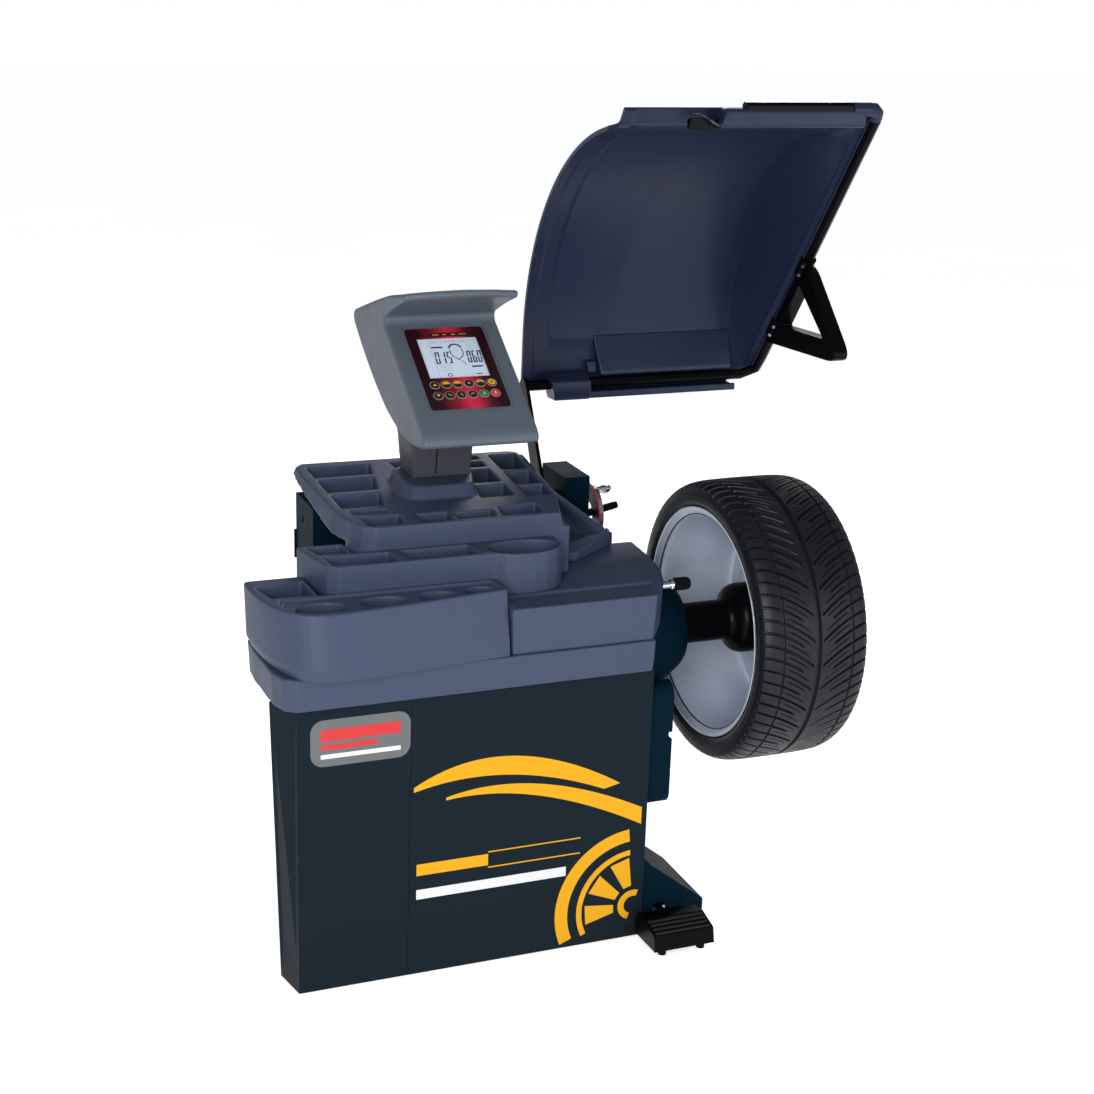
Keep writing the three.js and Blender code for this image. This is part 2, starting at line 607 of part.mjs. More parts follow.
function drivePulley() {
  const bore = SHAFT_RADIUS + GAP;
  const flange = PULLEY_RADIUS + 4;
  const width = 24;
  return turned([[bore, 0], [flange, 0], [flange, 3], [PULLEY_RADIUS, 4], [PULLEY_RADIUS, width - 4],
    [flange, width - 3], [flange, width], [bore, width], [bore, 0]], 262, SPINDLE_Y, SPINDLE_Z, 24);
}

function wheelRim() {
  const seat = FLANGE_FACE_X + GAP - RIM_INNER_X;
  const barrel = turned([
    [242, 0], [RIM_RADIUS, 0], [RIM_RADIUS, 5], [BEAD_RADIUS - 0.4, 8], [BEAD_RADIUS - 0.4, 30],
    [214, 52], [214, 184], [BEAD_RADIUS - 0.4, 206], [BEAD_RADIUS - 0.4, 228],
    [RIM_RADIUS, 231], [RIM_RADIUS, RIM_WIDTH], [242, RIM_WIDTH], [222, 226], [207, 208],
    [196, 203], [98, seat + 36], [84, seat + 20], [33.5, seat + 20], [33.5, seat], [90, seat],
    [104, seat + 18], [200, 192], [207, 184], [207, 50], [222, 10], [242, 0],
  ], RIM_INNER_X, SPINDLE_Y, SPINDLE_Z, WHEEL_SIDES);
  const studHoles = Array.from({ length: 5 }, (_, i) => {
    const angle = TURN * i / 5;
    return rod(7.5, 1000, 1100, SPINDLE_Y + 56 * Math.cos(angle), SPINDLE_Z + 56 * Math.sin(angle), 8);
  });
  return cut(barrel, ...studHoles);
}

function tyre() {
  const half = [
    [BEAD_RADIUS, 9], [246, 8.8], [250, 2], [264, -4], [280, 0], [293, 12], [299, 34],
  ];
  const inside = [[288, 40], [276, 16], [258, 12], [242, 26], [BEAD_RADIUS, 28.5]];
  const mirrored = (points) => points.map(([r, x]) => [r, RIM_WIDTH - x]).reverse();
  const profile = [...half, [TYRE_RADIUS, RIM_WIDTH / 2], ...mirrored(half), ...mirrored(inside),
    ...inside, half[0]];
  return turned(profile, RIM_INNER_X, SPINDLE_Y, SPINDLE_Z, WHEEL_SIDES);
}

function centringCone() {
  const bore = SHAFT_RADIUS + GAP;
  return turned([[bore, 0], [30, 0], [33, 8], [54, 34], [54, 44], [bore, 44], [bore, 0]],
    FLANGE_FACE_X + 12, SPINDLE_Y, SPINDLE_Z, 32);
}

function quickNut() {
  const x0 = FLANGE_FACE_X + 57;
  const hub = ring(SHAFT_RADIUS + GAP, 36, x0, x0 + 46, SPINDLE_Y, SPINDLE_Z, 28);
  const cup = ring(SHAFT_RADIUS + GAP, 52, x0, x0 + 10, SPINDLE_Y, SPINDLE_Z, 28);
  const handles = [-1, 1].map((side) => new THREE.CylinderGeometry(8, 8, 64, 14)
    .translate(x0 + 30, SPINDLE_Y + side * 58, SPINDLE_Z));
  const bore = rod(SHAFT_RADIUS + GAP, x0 - 5, x0 + 60, SPINDLE_Y, SPINDLE_Z, 28);
  return cut(join(hub, cup, ...handles), bore);
}

function driveMotor() {
  const body = rod(58, MOTOR.x, MOTOR.x + 140, MOTOR.y, MOTOR.z, 32);
  const base = box(MOTOR.x + 20, MOTOR.x + 120, MOTOR.y - 50, MOTOR.y + 50, 440.3, 452);
  return cut(join(body, base), rod(9.4, MOTOR.x - 1, MOTOR.x + 40, MOTOR.y, MOTOR.z, 16));
}

function motorPulley() {
  const width = 24;
  return turned([[0, 0], [28, 0], [28, 3], [24, 4], [24, width - 4], [28, width - 3], [28, width],
    [9, width], [9, 70], [0, 70]], 262, MOTOR.y, MOTOR.z, 24);
}

function wrapOutline(near, nearRadius, far, farRadius) {
  const axis = Math.atan2(far.z - near.z, far.y - near.y);
  const span = Math.hypot(far.z - near.z, far.y - near.y);
  const lean = Math.acos((nearRadius - farRadius) / span);
  const shape = new THREE.Shape();
  shape.absarc(near.y, near.z, nearRadius, axis + lean, axis - lean + TURN);
  shape.absarc(far.y, far.z, farRadius, axis - lean, axis + lean);
  return shape;
}

function driveBelt() {
  const near = { y: SPINDLE_Y, z: SPINDLE_Z };
  const outline = wrapOutline(near, PULLEY_RADIUS + 2.7, MOTOR, 27.2);
  outline.holes.push(wrapOutline(near, PULLEY_RADIUS + 0.5, MOTOR, 24.9));
  return new THREE.ExtrudeGeometry(outline, { depth: 14, bevelEnabled: false, curveSegments: 10 })
    .translate(0, 0, 267).rotateY(Math.PI / 2).rotateX(Math.PI / 2);
}

// ---------- guard ----------
function guardProfile() {
  const points = [[712, 1028], [709, 1080]];
  const steps = 12;
  const sweep = 78 * Math.PI / 180;
  for (let i = 0; i <= steps; i += 1) {
    const angle = sweep * i / steps;
    points.push([
      GUARD_CENTRE.y + GUARD_RADIUS * Math.cos(angle),
      GUARD_CENTRE.z + GUARD_RADIUS * Math.sin(angle),
    ]);
  }
  points.push([252, 1664], [233, 1692]);
  return points;
}

function guardShell() {
  const low = new THREE.Vector2(706, 1036);
  const high = new THREE.Vector2(235, 1690);
  const chord = high.clone().sub(low);
  const rows = guardProfile().map(([y, z]) => {
    const along = new THREE.Vector2(y, z).sub(low).dot(chord) / chord.lengthSq();
    const foot = low.clone().addScaledVector(chord, THREE.MathUtils.clamp(along, 0.001, 0.999));
    const wall = [0.34, 0.67, 1].map((t) => [
      GUARD_X1 + (CHORD_X - GUARD_X1) * t, y + (foot.x - y) * t, z + (foot.y - z) * t,
    ]);
    return [[GUARD_X0, y, z], [980, y, z], [GUARD_X1, y, z], ...wall];
  });
  return skin(rows, GUARD_SHEET);
}

function guardTube() {
  const x = CHORD_X + 20;
  const foot = [TUBE_FOOT.y, TUBE_FOOT.z];
  const head = [TUBE_HEAD.y, TUBE_HEAD.z];
  return bentTube([[714.4, ...foot], [x, ...foot], [x, ...head], [980, ...head]], 34, TUBE_RADIUS);
}

function guardArm() {
  const { y, z } = GUARD_AXIS;
  const angle = Math.atan2(TUBE_FOOT.z - z, TUBE_FOOT.y - y);
  const shape = new THREE.Shape();
  shape.absarc(y, z, 27, angle + TURN / 4, angle - TURN / 4 + TURN);
  shape.absarc(TUBE_FOOT.y, TUBE_FOOT.z, 19, angle - TURN / 4, angle + TURN / 4);
  return cut(prismAlongX(shape, 706, 714), rod(12.3, 700, 720, y, z, 20));
}

function guardShaft() {
  return rod(12, 704, 796, GUARD_AXIS.y, GUARD_AXIS.z, 20);
}

function hingeBox() {
  const outer = prismAlongX([[500, 742], [636, 742], [636, 870], [500, 870]], 743, 802);
  const inner = box(746, 799, 503, 633, 738, 867);
  return cut(outer, inner, rod(12.4, 740, 748, GUARD_AXIS.y, GUARD_AXIS.z, 20));
}

function guardBracket() {
  const outer = roundedTriangle([484, 1325], [296, 1162], [613, 1150], 20);
  outer.holes.push(roundedTriangle([476, 1282], [352, 1184], [556, 1176], 4));
  return prismAlongX(outer, CHORD_X + 32.4, CHORD_X + 44);
}

function roundedTriangle(a, b, c, radius) {
  const corners = [a, b, c].map(toVector);
  const shape = new THREE.Shape();
  corners.forEach((corner, i) => {
    const before = corners[(i + 2) % 3].clone().sub(corner).setLength(radius * 1.6).add(corner);
    const after = corners[(i + 1) % 3].clone().sub(corner).setLength(radius * 1.6).add(corner);
    if (i === 0) shape.moveTo(before.x, before.y);
    else shape.lineTo(before.x, before.y);
    shape.quadraticCurveTo(corner.x, corner.y, after.x, after.y);
  });
  return shape;
}

// ---------- accessories and controls ----------
function storagePeg() {
  const plate = rod(28, PEG.x + GAP, PEG.x + 9, PEG.y, PEG.z, 24);
  const peg = rod(8, 0, 92, 0, 0, 12).rotateY(-0.2).translate(PEG.x + 6, PEG.y, PEG.z - 6);
  return join(plate, peg);
}

function adaptorFlange() {
  const disc = ring(26, 70, PEG.x + 24, PEG.x + 34, PEG.y, PEG.z, 28);
  const studs = [-51, 51].map((dz) => turned(
    [[0, 0], [6, 0], [6, 26], [10, 30], [10, 40], [5, 48], [0, 48]], PEG.x + 30, PEG.y, PEG.z + dz, 14));
  return join(disc, ...studs);
}

function gaugeRod() {
  return rod(8, 436, 812, GAUGE.y, GAUGE.z, 16);
}

function gaugeKnob() {
  return turned([[0, 0], [12, 0], [13.5, 3], [13.5, 30], [10, 36], [0, 36]], 812.3, GAUGE.y, GAUGE.z, 20);
}

function gaugeCarriage() {
  const block = box(446, 480, GAUGE.y - 18, GAUGE.y + 18, GAUGE.z - 22, GAUGE.z + 13);
  return cut(block, rod(8.3, 440, 490, GAUGE.y, GAUGE.z, 16));
}

function brakePedal() {
  const { y, z } = PEDAL_PIVOT;
  const pin = rod(8, 742, 886.5, y, z, 16);
  const hub = rod(15, 776, 794, y, z, 20);
  const lever = box(776, 794, -24, y, z - 9, z + 7);
  const pad = prismAlongX([[-120, 28], [-20, 24], [-20, 66], [-60, 72], [-112, 60]], 716, 852);
  const stops = [740, 828].map((x) => post(9, x, -104, 14, 40, 14));
  return join(pin, hub, lever, pad, ...stops);
}

function controlBoard() {
  const board = box(126, 128, 160, 420, 260, 520);
  const parts = [[180, 230, 300, 360], [260, 330, 420, 480], [350, 400, 290, 400]].map(
    ([y0, y1, z0, z1]) => box(127, 145, y0, y1, z0, z1));
  return join(board, ...parts);
}

function powerInlet() {
  const x = SWITCH.x - 70;
  const y = REAR.y1;
  const plate = box(x - 26, x + 26, y + GAP, y + 4, SWITCH.z - 32, SWITCH.z + 32);
  const socket = box(x - 15, x + 15, y - 30, y + 4, SWITCH.z - 14, SWITCH.z + 14);
  return cut(join(plate, socket), box(x - 12, x + 12, y - 26, y + 5, SWITCH.z - 9, SWITCH.z + 9));
}

function mainSwitch() {
  const rocker = prismAlongX([[-11, -13], [5, -13], [1.5, 0], [5, 13], [-11, 13], [-8, 0]], -9, 9);
  return rocker.translate(SWITCH.x, REAR.y1, SWITCH.z);
}

function rearHousingWithOpenings() {
  const inletBore = box(SWITCH.x - 86, SWITCH.x - 54, 590, 610, SWITCH.z - 15, SWITCH.z + 15);
  const switchBore = box(SWITCH.x - 10, SWITCH.x + 10, 590, 610, SWITCH.z - 16, SWITCH.z + 16);
  return cut(rearHousing(), inletBore, switchBore);
}

// ---------- assembly ----------
const pieces = [
  ['front_panel', frontPanel, PAINT],
  ['column', column, TEAL],
  ['rear_housing', rearHousingWithOpenings, TEAL],
  ['outrigger', outrigger, TEAL],
  ['foot_front_left', () => foot(160, 110, 15.7), RUBBER],
  ['foot_front_right', () => foot(690, 110, 15.7), RUBBER],
  ['foot_rear_left', () => foot(160, 552, 15.7), RUBBER],
  ['foot_rear_right', () => foot(690, 552, 15.7), RUBBER],
  ['side_cover', sideCover, TEAL],
  ['spindle_cover', spindleCover, TEAL],
  ['tray_skirt', traySkirt, MOULDING],
  ['front_tray', frontTray, MOULDING],
  ['deck_cover', deckCover, MOULDING],
  ['middle_tray', middleTray, MOULDING],
  ['upper_tray', upperTray, MOULDING],
  ['display_neck', displayNeck, HEAD_PLASTIC],
  ['spindle_housing', spindleHousing, STEEL],
  ['bearing_rear', () => bearing(302), STEEL],
  ['bearing_front', () => bearing(710), STEEL],
  ['spindle_shaft', spindleShaft, STEEL],
  ['spindle_flange', spindleFlange, BLACK],
  ['drive_pulley', drivePulley, ALUMINIUM],
  ['wheel_rim', wheelRim, ALUMINIUM],
  ['tyre', tyre, RUBBER],
  ['centring_cone', centringCone, STEEL],
  ['quick_nut', quickNut, BLACK],
  ['drive_motor', driveMotor, PAINT],
  ['motor_pulley', motorPulley, ALUMINIUM],
  ['drive_belt', driveBelt, RUBBER],
  ['hinge_box', hingeBox, TEAL],
  ['guard_shaft', guardShaft, STEEL],
  ['guard_arm', guardArm, BLACK],
  ['guard_tube', guardTube, BLACK],
  ['guard_shell', guardShell, GUARD_PLASTIC],
  ['guard_bracket', guardBracket, BLACK],
  ['storage_peg', storagePeg, BLACK],
  ['adaptor_flange', adaptorFlange, STEEL],
  ['gauge_rod', gaugeRod, STEEL],
  ['gauge_knob', gaugeKnob, BLACK],
  ['gauge_carriage', gaugeCarriage, ALUMINIUM],
  ['brake_pedal', brakePedal, BLACK],
  ['control_board', controlBoard, BOARD],
  ['power_inlet', powerInlet, BLACK],
  ['main_switch', mainSwitch, KEY_RED],
];
const facePieces = [
  ['display_housing', displayHousing, HEAD_PLASTIC],
  ['keypad_panel', keypadPanel, MEMBRANE],
  ['lcd_screen', lcdScreen, SCREEN],
  ['display_board', displayBoard, BOARD],
];
for (const [name, build, material] of pieces) place(name, build(), material);
for (const [name, build, material] of facePieces) place(name, build(), material, face);
machine.add(face);

const keyColours = { 11: KEY_GREEN, 12: KEY_RED };
keyCentres().forEach((centre, i) => {
  const name = `key_${String(i + 1).padStart(2, '0')}`;
  place(name, keyCap(centre), keyColours[i + 1] ?? KEY_GREY, face);
});

const bounds = new THREE.Box3().setFromObject(machine, true);
machine.position.set(
  -(bounds.min.x + bounds.max.x) / 2, -(bounds.min.y + bounds.max.y) / 2, -bounds.min.z);

export default machine;
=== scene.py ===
"""Looks for the workshop wheel balancer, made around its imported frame.

Drawing places are millimetres from the floor under the front panel's left edge: +X to the wheel,
+Y to the back, +Z up. at() turns them into the frame's metres.
"""

from math import cos, hypot, pi, radians, sin

import bmesh
import bpy
from mathutils import Matrix, Vector


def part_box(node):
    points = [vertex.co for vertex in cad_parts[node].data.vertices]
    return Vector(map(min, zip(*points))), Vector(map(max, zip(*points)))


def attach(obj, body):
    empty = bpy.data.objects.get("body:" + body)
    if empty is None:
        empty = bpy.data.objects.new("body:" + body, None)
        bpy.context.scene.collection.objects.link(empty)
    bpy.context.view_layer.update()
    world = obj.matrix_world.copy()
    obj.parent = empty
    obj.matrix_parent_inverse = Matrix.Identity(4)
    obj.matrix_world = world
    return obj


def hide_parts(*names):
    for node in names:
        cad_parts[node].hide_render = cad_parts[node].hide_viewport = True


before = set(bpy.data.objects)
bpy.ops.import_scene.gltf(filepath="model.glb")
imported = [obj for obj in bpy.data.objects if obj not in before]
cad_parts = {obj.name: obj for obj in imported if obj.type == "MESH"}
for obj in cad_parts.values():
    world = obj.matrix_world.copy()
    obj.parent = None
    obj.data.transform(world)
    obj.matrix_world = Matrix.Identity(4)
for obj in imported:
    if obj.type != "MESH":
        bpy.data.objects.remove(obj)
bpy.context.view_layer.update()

# ---------- drawing ----------
MM = 0.001
TURN = 2 * pi
RETURN_FLANGE = 38                      # the front panel's left flange reaches this far left
SPINDLE_Y, SPINDLE_Z = 169, 628
RIM_X, RIM_WIDTH, TYRE_RADIUS = 925, 236, 301
FLANGE_FACE_X = 1046
GUARD_X0, GUARD_X1, CHORD_X = 715, 1236, 1276
GUARD_CENTRE, GUARD_RADIUS = (180, 1130), 528
FACE_LIP = (416, 150, 1072)             # lower edge of the display face
FACE_TILT = 0.592
HEAD_WIDTH = 240
WINDOW = (84, 76, 300)                  # half width and ends of the opening in the face
REAR_Y = 600                            # back face of the rear housing
GAUGE_Y, GAUGE_Z = 78, 752
ADAPTOR_Y, ADAPTOR_Z = 560, 768         # middle of the adaptor flange on its peg

CAMERA = {"place": (-815.9, -3164.8, 1962.9), "azimuth": 22.53, "pitch": 17.48, "roll": -1.88,
          "lens": 61.37, "sensor": 36}

panel_low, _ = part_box("front_panel")
DATUM = Vector((panel_low.x + RETURN_FLANGE * MM, panel_low.y, 0))


def at(x, y, z):
    """A drawing place in the frame's metres."""
    return DATUM + Vector((x, y, z)) * MM


def on_face(x, y, z):
    """A place on the display face, x across, y up the face and z out of it, in drawing places."""
    up = (0, cos(FACE_TILT), sin(FACE_TILT))
    out = (0, -sin(FACE_TILT), cos(FACE_TILT))
    return (FACE_LIP[0] + x, FACE_LIP[1] + y * up[1] + z * out[1],
            FACE_LIP[2] + y * up[2] + z * out[2])


# ---------- materials ----------
def set_inputs(tree, node, inputs):
    """Sets a node's inputs to values, or joins them to the sockets given."""
    for name, value in inputs.items():
        if isinstance(value, bpy.types.NodeSocket):
            tree.links.new(value, node.inputs[name])
        else:
            node.inputs[name].default_value = value
    return node


def add_node(tree, kind, inputs):
    return set_inputs(tree, tree.nodes.new(kind), inputs)


def start_material(name, colour, roughness, metallic=0.0, gloss=0.5):
    """A material, its node tree and shader, and the place in object space."""
    material = bpy.data.materials.new(name)
    material["finish"] = name
    material.use_nodes = True
    tree = material.node_tree
    shader = set_inputs(tree, tree.nodes["Principled BSDF"], {
        "Base Color": (*colour, 1), "Roughness": roughness, "Metallic": metallic,
        "Specular IOR Level": gloss})
    place = tree.nodes.new("ShaderNodeTexCoord").outputs["Object"]
    return material, tree, shader, place


def add_noise(tree, place, scale, detail=3.0, roughness=0.55, stretch=None):
    if stretch:
        place = add_node(tree, "ShaderNodeMapping", {"Vector": place, "Scale": stretch}).outputs["Vector"]
    noise = {"Vector": place, "Scale": scale, "Detail": detail, "Roughness": roughness}
    return add_node(tree, "ShaderNodeTexNoise", noise).outputs["Fac"]


def map_range(tree, value, low, high, to_low, to_high):
    ends = {"Value": value, "From Min": low, "From Max": high, "To Min": to_low, "To Max": to_high}
    return add_node(tree, "ShaderNodeMapRange", ends).outputs["Result"]


def mix_colour(tree, factor, *colours):
    node = tree.nodes.new("ShaderNodeMix")
    node.data_type = "RGBA"
    first, second = ((*colour, 1) if isinstance(colour, tuple) else colour for colour in colours)
    return set_inputs(tree, node, {"Factor": factor, 6: first, 7: second}).outputs[2]


def add_bump(tree, shader, height, strength, distance):
    bump = add_node(tree, "ShaderNodeBump", {"Strength": strength, "Distance": distance, "Height": height})
    tree.links.new(bump.outputs["Normal"], shader.inputs["Normal"])


def shade(colour, factor):
    return tuple(channel * factor for channel in colour)


def grained(name, colour, roughness, grain=700.0, depth=0.0004, strength=0.35, mottle=0.12, gloss=0.5,
            dust=0.2):
    """Moulded plastic or sprayed paint: an even grain, a slow change of tone, and dust in patches."""
    material, tree, shader, place = start_material(name, colour, roughness, gloss=gloss)
    slow = add_noise(tree, place, 5.0, 4.0)
    fine = add_noise(tree, place, grain, 2.0)
    speckle = map_range(tree, fine, 0.35, 0.65, 0.0, 1.0)
    toned = mix_colour(tree, slow, shade(colour, 1 - mottle), shade(colour, 1 + mottle))
    grey = sum(colour) / 3
    dusty = tuple(channel * (1 - dust * 0.6) + grey * dust for channel in colour)
    patch = add_noise(tree, place, 18.0, 5.0, 0.65)
    set_inputs(tree, shader, {
        "Base Color": mix_colour(tree, speckle, toned, dusty),
        "Roughness": map_range(tree, patch, 0.3, 0.7, roughness - 0.03, roughness + 0.05)})
    add_bump(tree, shader, fine, strength, depth)
    return material


def brushed(name, colour, roughness, stretch, metallic=1.0):
    """Turned or brushed metal, with fine lines along the axis that stretch leaves short."""
    material, tree, shader, place = start_material(name, colour, roughness, metallic)
    lines = add_noise(tree, place, 60.0, 3.0, 0.6, stretch)
    set_inputs(tree, shader, {
        "Base Color": mix_colour(tree, lines, shade(colour, 0.86), shade(colour, 1.1)),
        "Roughness": map_range(tree, lines, 0.2, 0.8, roughness - 0.07, roughness + 0.1)})
    add_bump(tree, shader, lines, 0.12, 0.0004)
    return material


# Colours are linear.
FINE_PRINT = {"grain": 600.0, "gloss": 0.3}
TRAY = grained("tray_plastic", (0.026, 0.038, 0.074), 0.5, grain=420.0, depth=0.0006, strength=0.45,
               mottle=0.06, gloss=0.2)
HEAD = grained("head_plastic", (0.054, 0.068, 0.090), 0.44, grain=800.0, mottle=0.05, gloss=0.25)
# The neck is the head's plastic made a little warmer and about half as bright; the darkness is painted shade.
NECK_SHADED = grained("neck_plastic", (0.030, 0.031, 0.042), 0.48, grain=800.0, mottle=0.06, gloss=0.22)
GUARD = grained("guard_plastic", (0.0075, 0.0125, 0.033), 0.34, grain=650.0, depth=0.0003, strength=0.2,
                mottle=0.1, gloss=0.16)
CABINET = grained("cabinet_paint", (0.0052, 0.0098, 0.0142), 0.42, grain=1100.0, depth=0.0002,
                  strength=0.2, gloss=0.04, dust=0.05)
TEAL = grained("teal_paint", (0.0005, 0.0078, 0.0145), 0.5, grain=1100.0, depth=0.0002, strength=0.2,
               gloss=0.02, dust=0.03)
BLACK = grained("black_enamel", (0.0011, 0.0012, 0.0015), 0.3, grain=900.0, depth=0.0001, strength=0.12,
                gloss=0.06)
BLACK_PLASTIC = grained("black_plastic", (0.002, 0.002, 0.0023), 0.45, grain=900.0, gloss=0.1)
RUBBER = grained("rubber", (0.006, 0.0065, 0.0085), 0.6, grain=500.0, depth=0.0005, strength=0.4, gloss=0.25)
TYRE = grained("tyre_rubber", (0.0036, 0.0043, 0.0072), 0.46, grain=380.0, depth=0.0004, strength=0.35,
               mottle=0.2, gloss=0.22)
BOARD = grained("board_green", (0.02, 0.09, 0.045), 0.4, grain=300.0)
STEEL = brushed("turned_steel", (0.45, 0.47, 0.5), 0.26, (12.0, 1.0, 1.0))
CHROME = brushed("plated_steel", (0.62, 0.67, 0.7), 0.12, (6.0, 1.0, 1.0))
ALLOY = brushed("rim_alloy", (0.50, 0.55, 0.64), 0.4, (1.0, 5.0, 5.0), 0.6)
POLISHED = brushed("rim_edge", (0.62, 0.68, 0.76), 0.16, (3.0, 1.0, 1.0))
SCREEN = grained("screen_glass", (0.40, 0.48, 0.56), 0.22, grain=300.0, depth=0.00005, strength=0.05,
                 mottle=0.04, gloss=0.4)
SCREEN_INK = grained("screen_ink", (0.012, 0.02, 0.075), 0.3, **FINE_PRINT)
SCREEN_FAINT = grained("screen_faint_ink", (0.17, 0.22, 0.27), 0.3, **FINE_PRINT)
KEY_DARK = grained("key_dark", (0.011, 0.010, 0.008), 0.34, **FINE_PRINT)
KEY_GREEN = grained("key_green", (0.012, 0.13, 0.035), 0.34, **FINE_PRINT)
KEY_RED = grained("key_red", (0.42, 0.012, 0.02), 0.34, **FINE_PRINT)
KEY_RING = grained("key_ring", (0.16, 0.15, 0.15), 0.3, grain=600.0, gloss=0.4)
PRINT_YELLOW = grained("print_yellow", (0.50, 0.245, 0.006), 0.38, grain=700.0, mottle=0.04, gloss=0.08,
                       dust=0.01)
PRINT_WHITE = grained("print_white", (0.46, 0.47, 0.48), 0.38, grain=700.0, mottle=0.04, gloss=0.25)
PRINT_GREY = grained("print_grey", (0.082, 0.087, 0.09), 0.38, grain=700.0, mottle=0.05, gloss=0.25)
PRINT_RED = grained("print_red", (0.40, 0.03, 0.03), 0.38, grain=700.0, mottle=0.05, gloss=0.1, dust=0.02)
SEAM = grained("shadow_seam", (0.0022, 0.0016, 0.002), 0.6, grain=700.0, gloss=0.1)


def membrane_material():
    """A film with dark maroon sides and a bright red middle, blended across its width."""
    material, tree, shader, place = start_material("membrane", (0.4, 0.015, 0.04), 0.3, gloss=0.3)
    across = add_node(tree, "ShaderNodeSeparateXYZ", {"Vector": place}).outputs["X"]
    left, right = (at(FACE_LIP[0] + side * WINDOW[0], 0, 0).x for side in (-1, 1))
    share = map_range(tree, across, left, right, 0.0, 1.0)
    ramp = add_node(tree, "ShaderNodeValToRGB", {"Fac": share})
    stops = ((0.0, (0.008, 0.0003, 0.002)), (0.16, (0.012, 0.0003, 0.003)), (0.36, (0.16, 0.004, 0.014)),
             (0.52, (0.42, 0.014, 0.035)), (0.60, (0.36, 0.012, 0.03)), (0.76, (0.06, 0.001, 0.006)),
             (0.88, (0.009, 0.0003, 0.002)), (1.0, (0.008, 0.0003, 0.002)))
    while len(ramp.color_ramp.elements) < len(stops):
        ramp.color_ramp.elements.new(0.5)
    for element, (position, colour) in zip(ramp.color_ramp.elements, stops):
        element.position = position
        element.color = (*colour, 1)
    fine = add_noise(tree, place, 900.0, 2.0)
    dust = map_range(tree, fine, 0.0, 1.0, 0.0, 0.12)
    set_inputs(tree, shader, {
        "Base Color": mix_colour(tree, dust, ramp.outputs["Color"], (0.05, 0.004, 0.008)),
        "Roughness": map_range(tree, fine, 0.3, 0.7, 0.24, 0.36)})
    add_bump(tree, shader, fine, 0.1, 0.00005)
    return material


MEMBRANE = membrane_material()


# ---------- mesh building ----------
def add_object(name, data):
    thing = bpy.data.objects.new(name, data)
    bpy.context.scene.collection.objects.link(thing)
    return thing


def build_mesh(name, points, faces):
    """A mesh from drawing places, its faces turned outwards."""
    mesh = bpy.data.meshes.new(name)
    mesh.from_pydata([at(*point) for point in points], [], faces)
    shape = bmesh.new()
    shape.from_mesh(mesh)
    bmesh.ops.recalc_face_normals(shape, faces=shape.faces)
    shape.to_mesh(mesh)
    shape.free()
    return mesh


def make_piece(name, points, faces, material, body="cabinet", crease=35):
    """A closed mesh from drawing places, riding on a body, with its finish."""
    mesh = build_mesh(name, points, faces)
    mesh.materials.append(material)
    mesh.shade_smooth()
    mesh.set_sharp_from_angle(angle=radians(crease))
    piece = add_object(name, mesh)
    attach(piece, body)
    return piece


def round_edges(piece, width, segments=2, angle=40):
    bevel = piece.modifiers.new("round_edges", "BEVEL")
    bevel.width = width * MM
    bevel.segments = segments
    bevel.limit_method = "ANGLE"
    bevel.angle_limit = radians(angle)
    even = piece.modifiers.new("even_shading", "WEIGHTED_NORMAL")
    even.keep_sharp = False
    return piece


def prisms(outlines, low, high, place):
    """Points and faces of flat outlines raised from low to high, put in the drawing by place()."""
    points, faces = [], []
    for outline in outlines:
        start, count = len(points), len(outline)
        points += [place(a, b, low) for a, b in outline] + [place(a, b, high) for a, b in outline]
        faces.append(list(range(start, start + count))[::-1])
        faces.append(list(range(start + count, start + 2 * count)))
        for i in range(count):
            j = (i + 1) % count
            faces.append([start + i, start + j, start + count + j, start + count + i])
    return points, faces


def along_x(y, z, x):
    return (x, y, z)


def facing_back(x, z, y):
    return (x, y, z)


def on_panel(x, z, out):
    """On the front panel's face: across, up and out towards the operator."""
    return (x, -out, z)


def bar(x0, x1, y0, y1):
    return [(x0, y0), (x1, y0), (x1, y1), (x0, y1)]


def rounded_outline(x0, x1, y0, y1, radius, steps=5):
    corners = ((x1 - radius, y1 - radius, 0), (x0 + radius, y1 - radius, 1),
               (x0 + radius, y0 + radius, 2), (x1 - radius, y0 + radius, 3))
    return [(cx + radius * cos(TURN / 4 * (quarter + i / steps)),
             cy + radius * sin(TURN / 4 * (quarter + i / steps)))
            for cx, cy, quarter in corners for i in range(steps + 1)]


def oval_outline(x, y, half_width, half_height, count=28):
    return [(x + half_width * cos(TURN * i / count), y + half_height * sin(TURN * i / count))
            for i in range(count)]


def round_outline(x, y, radius, count=28):
    return oval_outline(x, y, radius, radius, count)


def ring_mesh(rows, ends="joined"):
    """Faces over closed rings of equal length; the first and last are joined, capped or left open."""
    count = len(rows[0])
    points = [point for row in rows for point in row]
    faces = []
    last = len(rows) if ends == "joined" else len(rows) - 1
    for i in range(last):
        j = (i + 1) % len(rows)
        for k in range(count):
            n = (k + 1) % count
            faces.append([i * count + k, i * count + n, j * count + n, j * count + k])
    if ends == "capped":
        faces.append(list(range(count)))
        faces.append(list(range(last * count, len(points)))[::-1])
    return points, faces


def turned_piece(name, profile, x0, y, z, material, body, sides=96, capped=False, crease=35):
    """A turned piece about an axis along X; profile pairs are (station from x0, radius)."""
    rows = [[(x0 + station, a, b) for a, b in round_outline(y, z, radius, sides)]
            for station, radius in profile]
    return make_piece(name, *ring_mesh(rows, "capped" if capped else "joined"), material, body, crease)


def spindle_piece(name, profile, x0, material, body="spindle", **shape):
    return turned_piece(name, profile, x0, SPINDLE_Y, SPINDLE_Z, material, body, **shape)


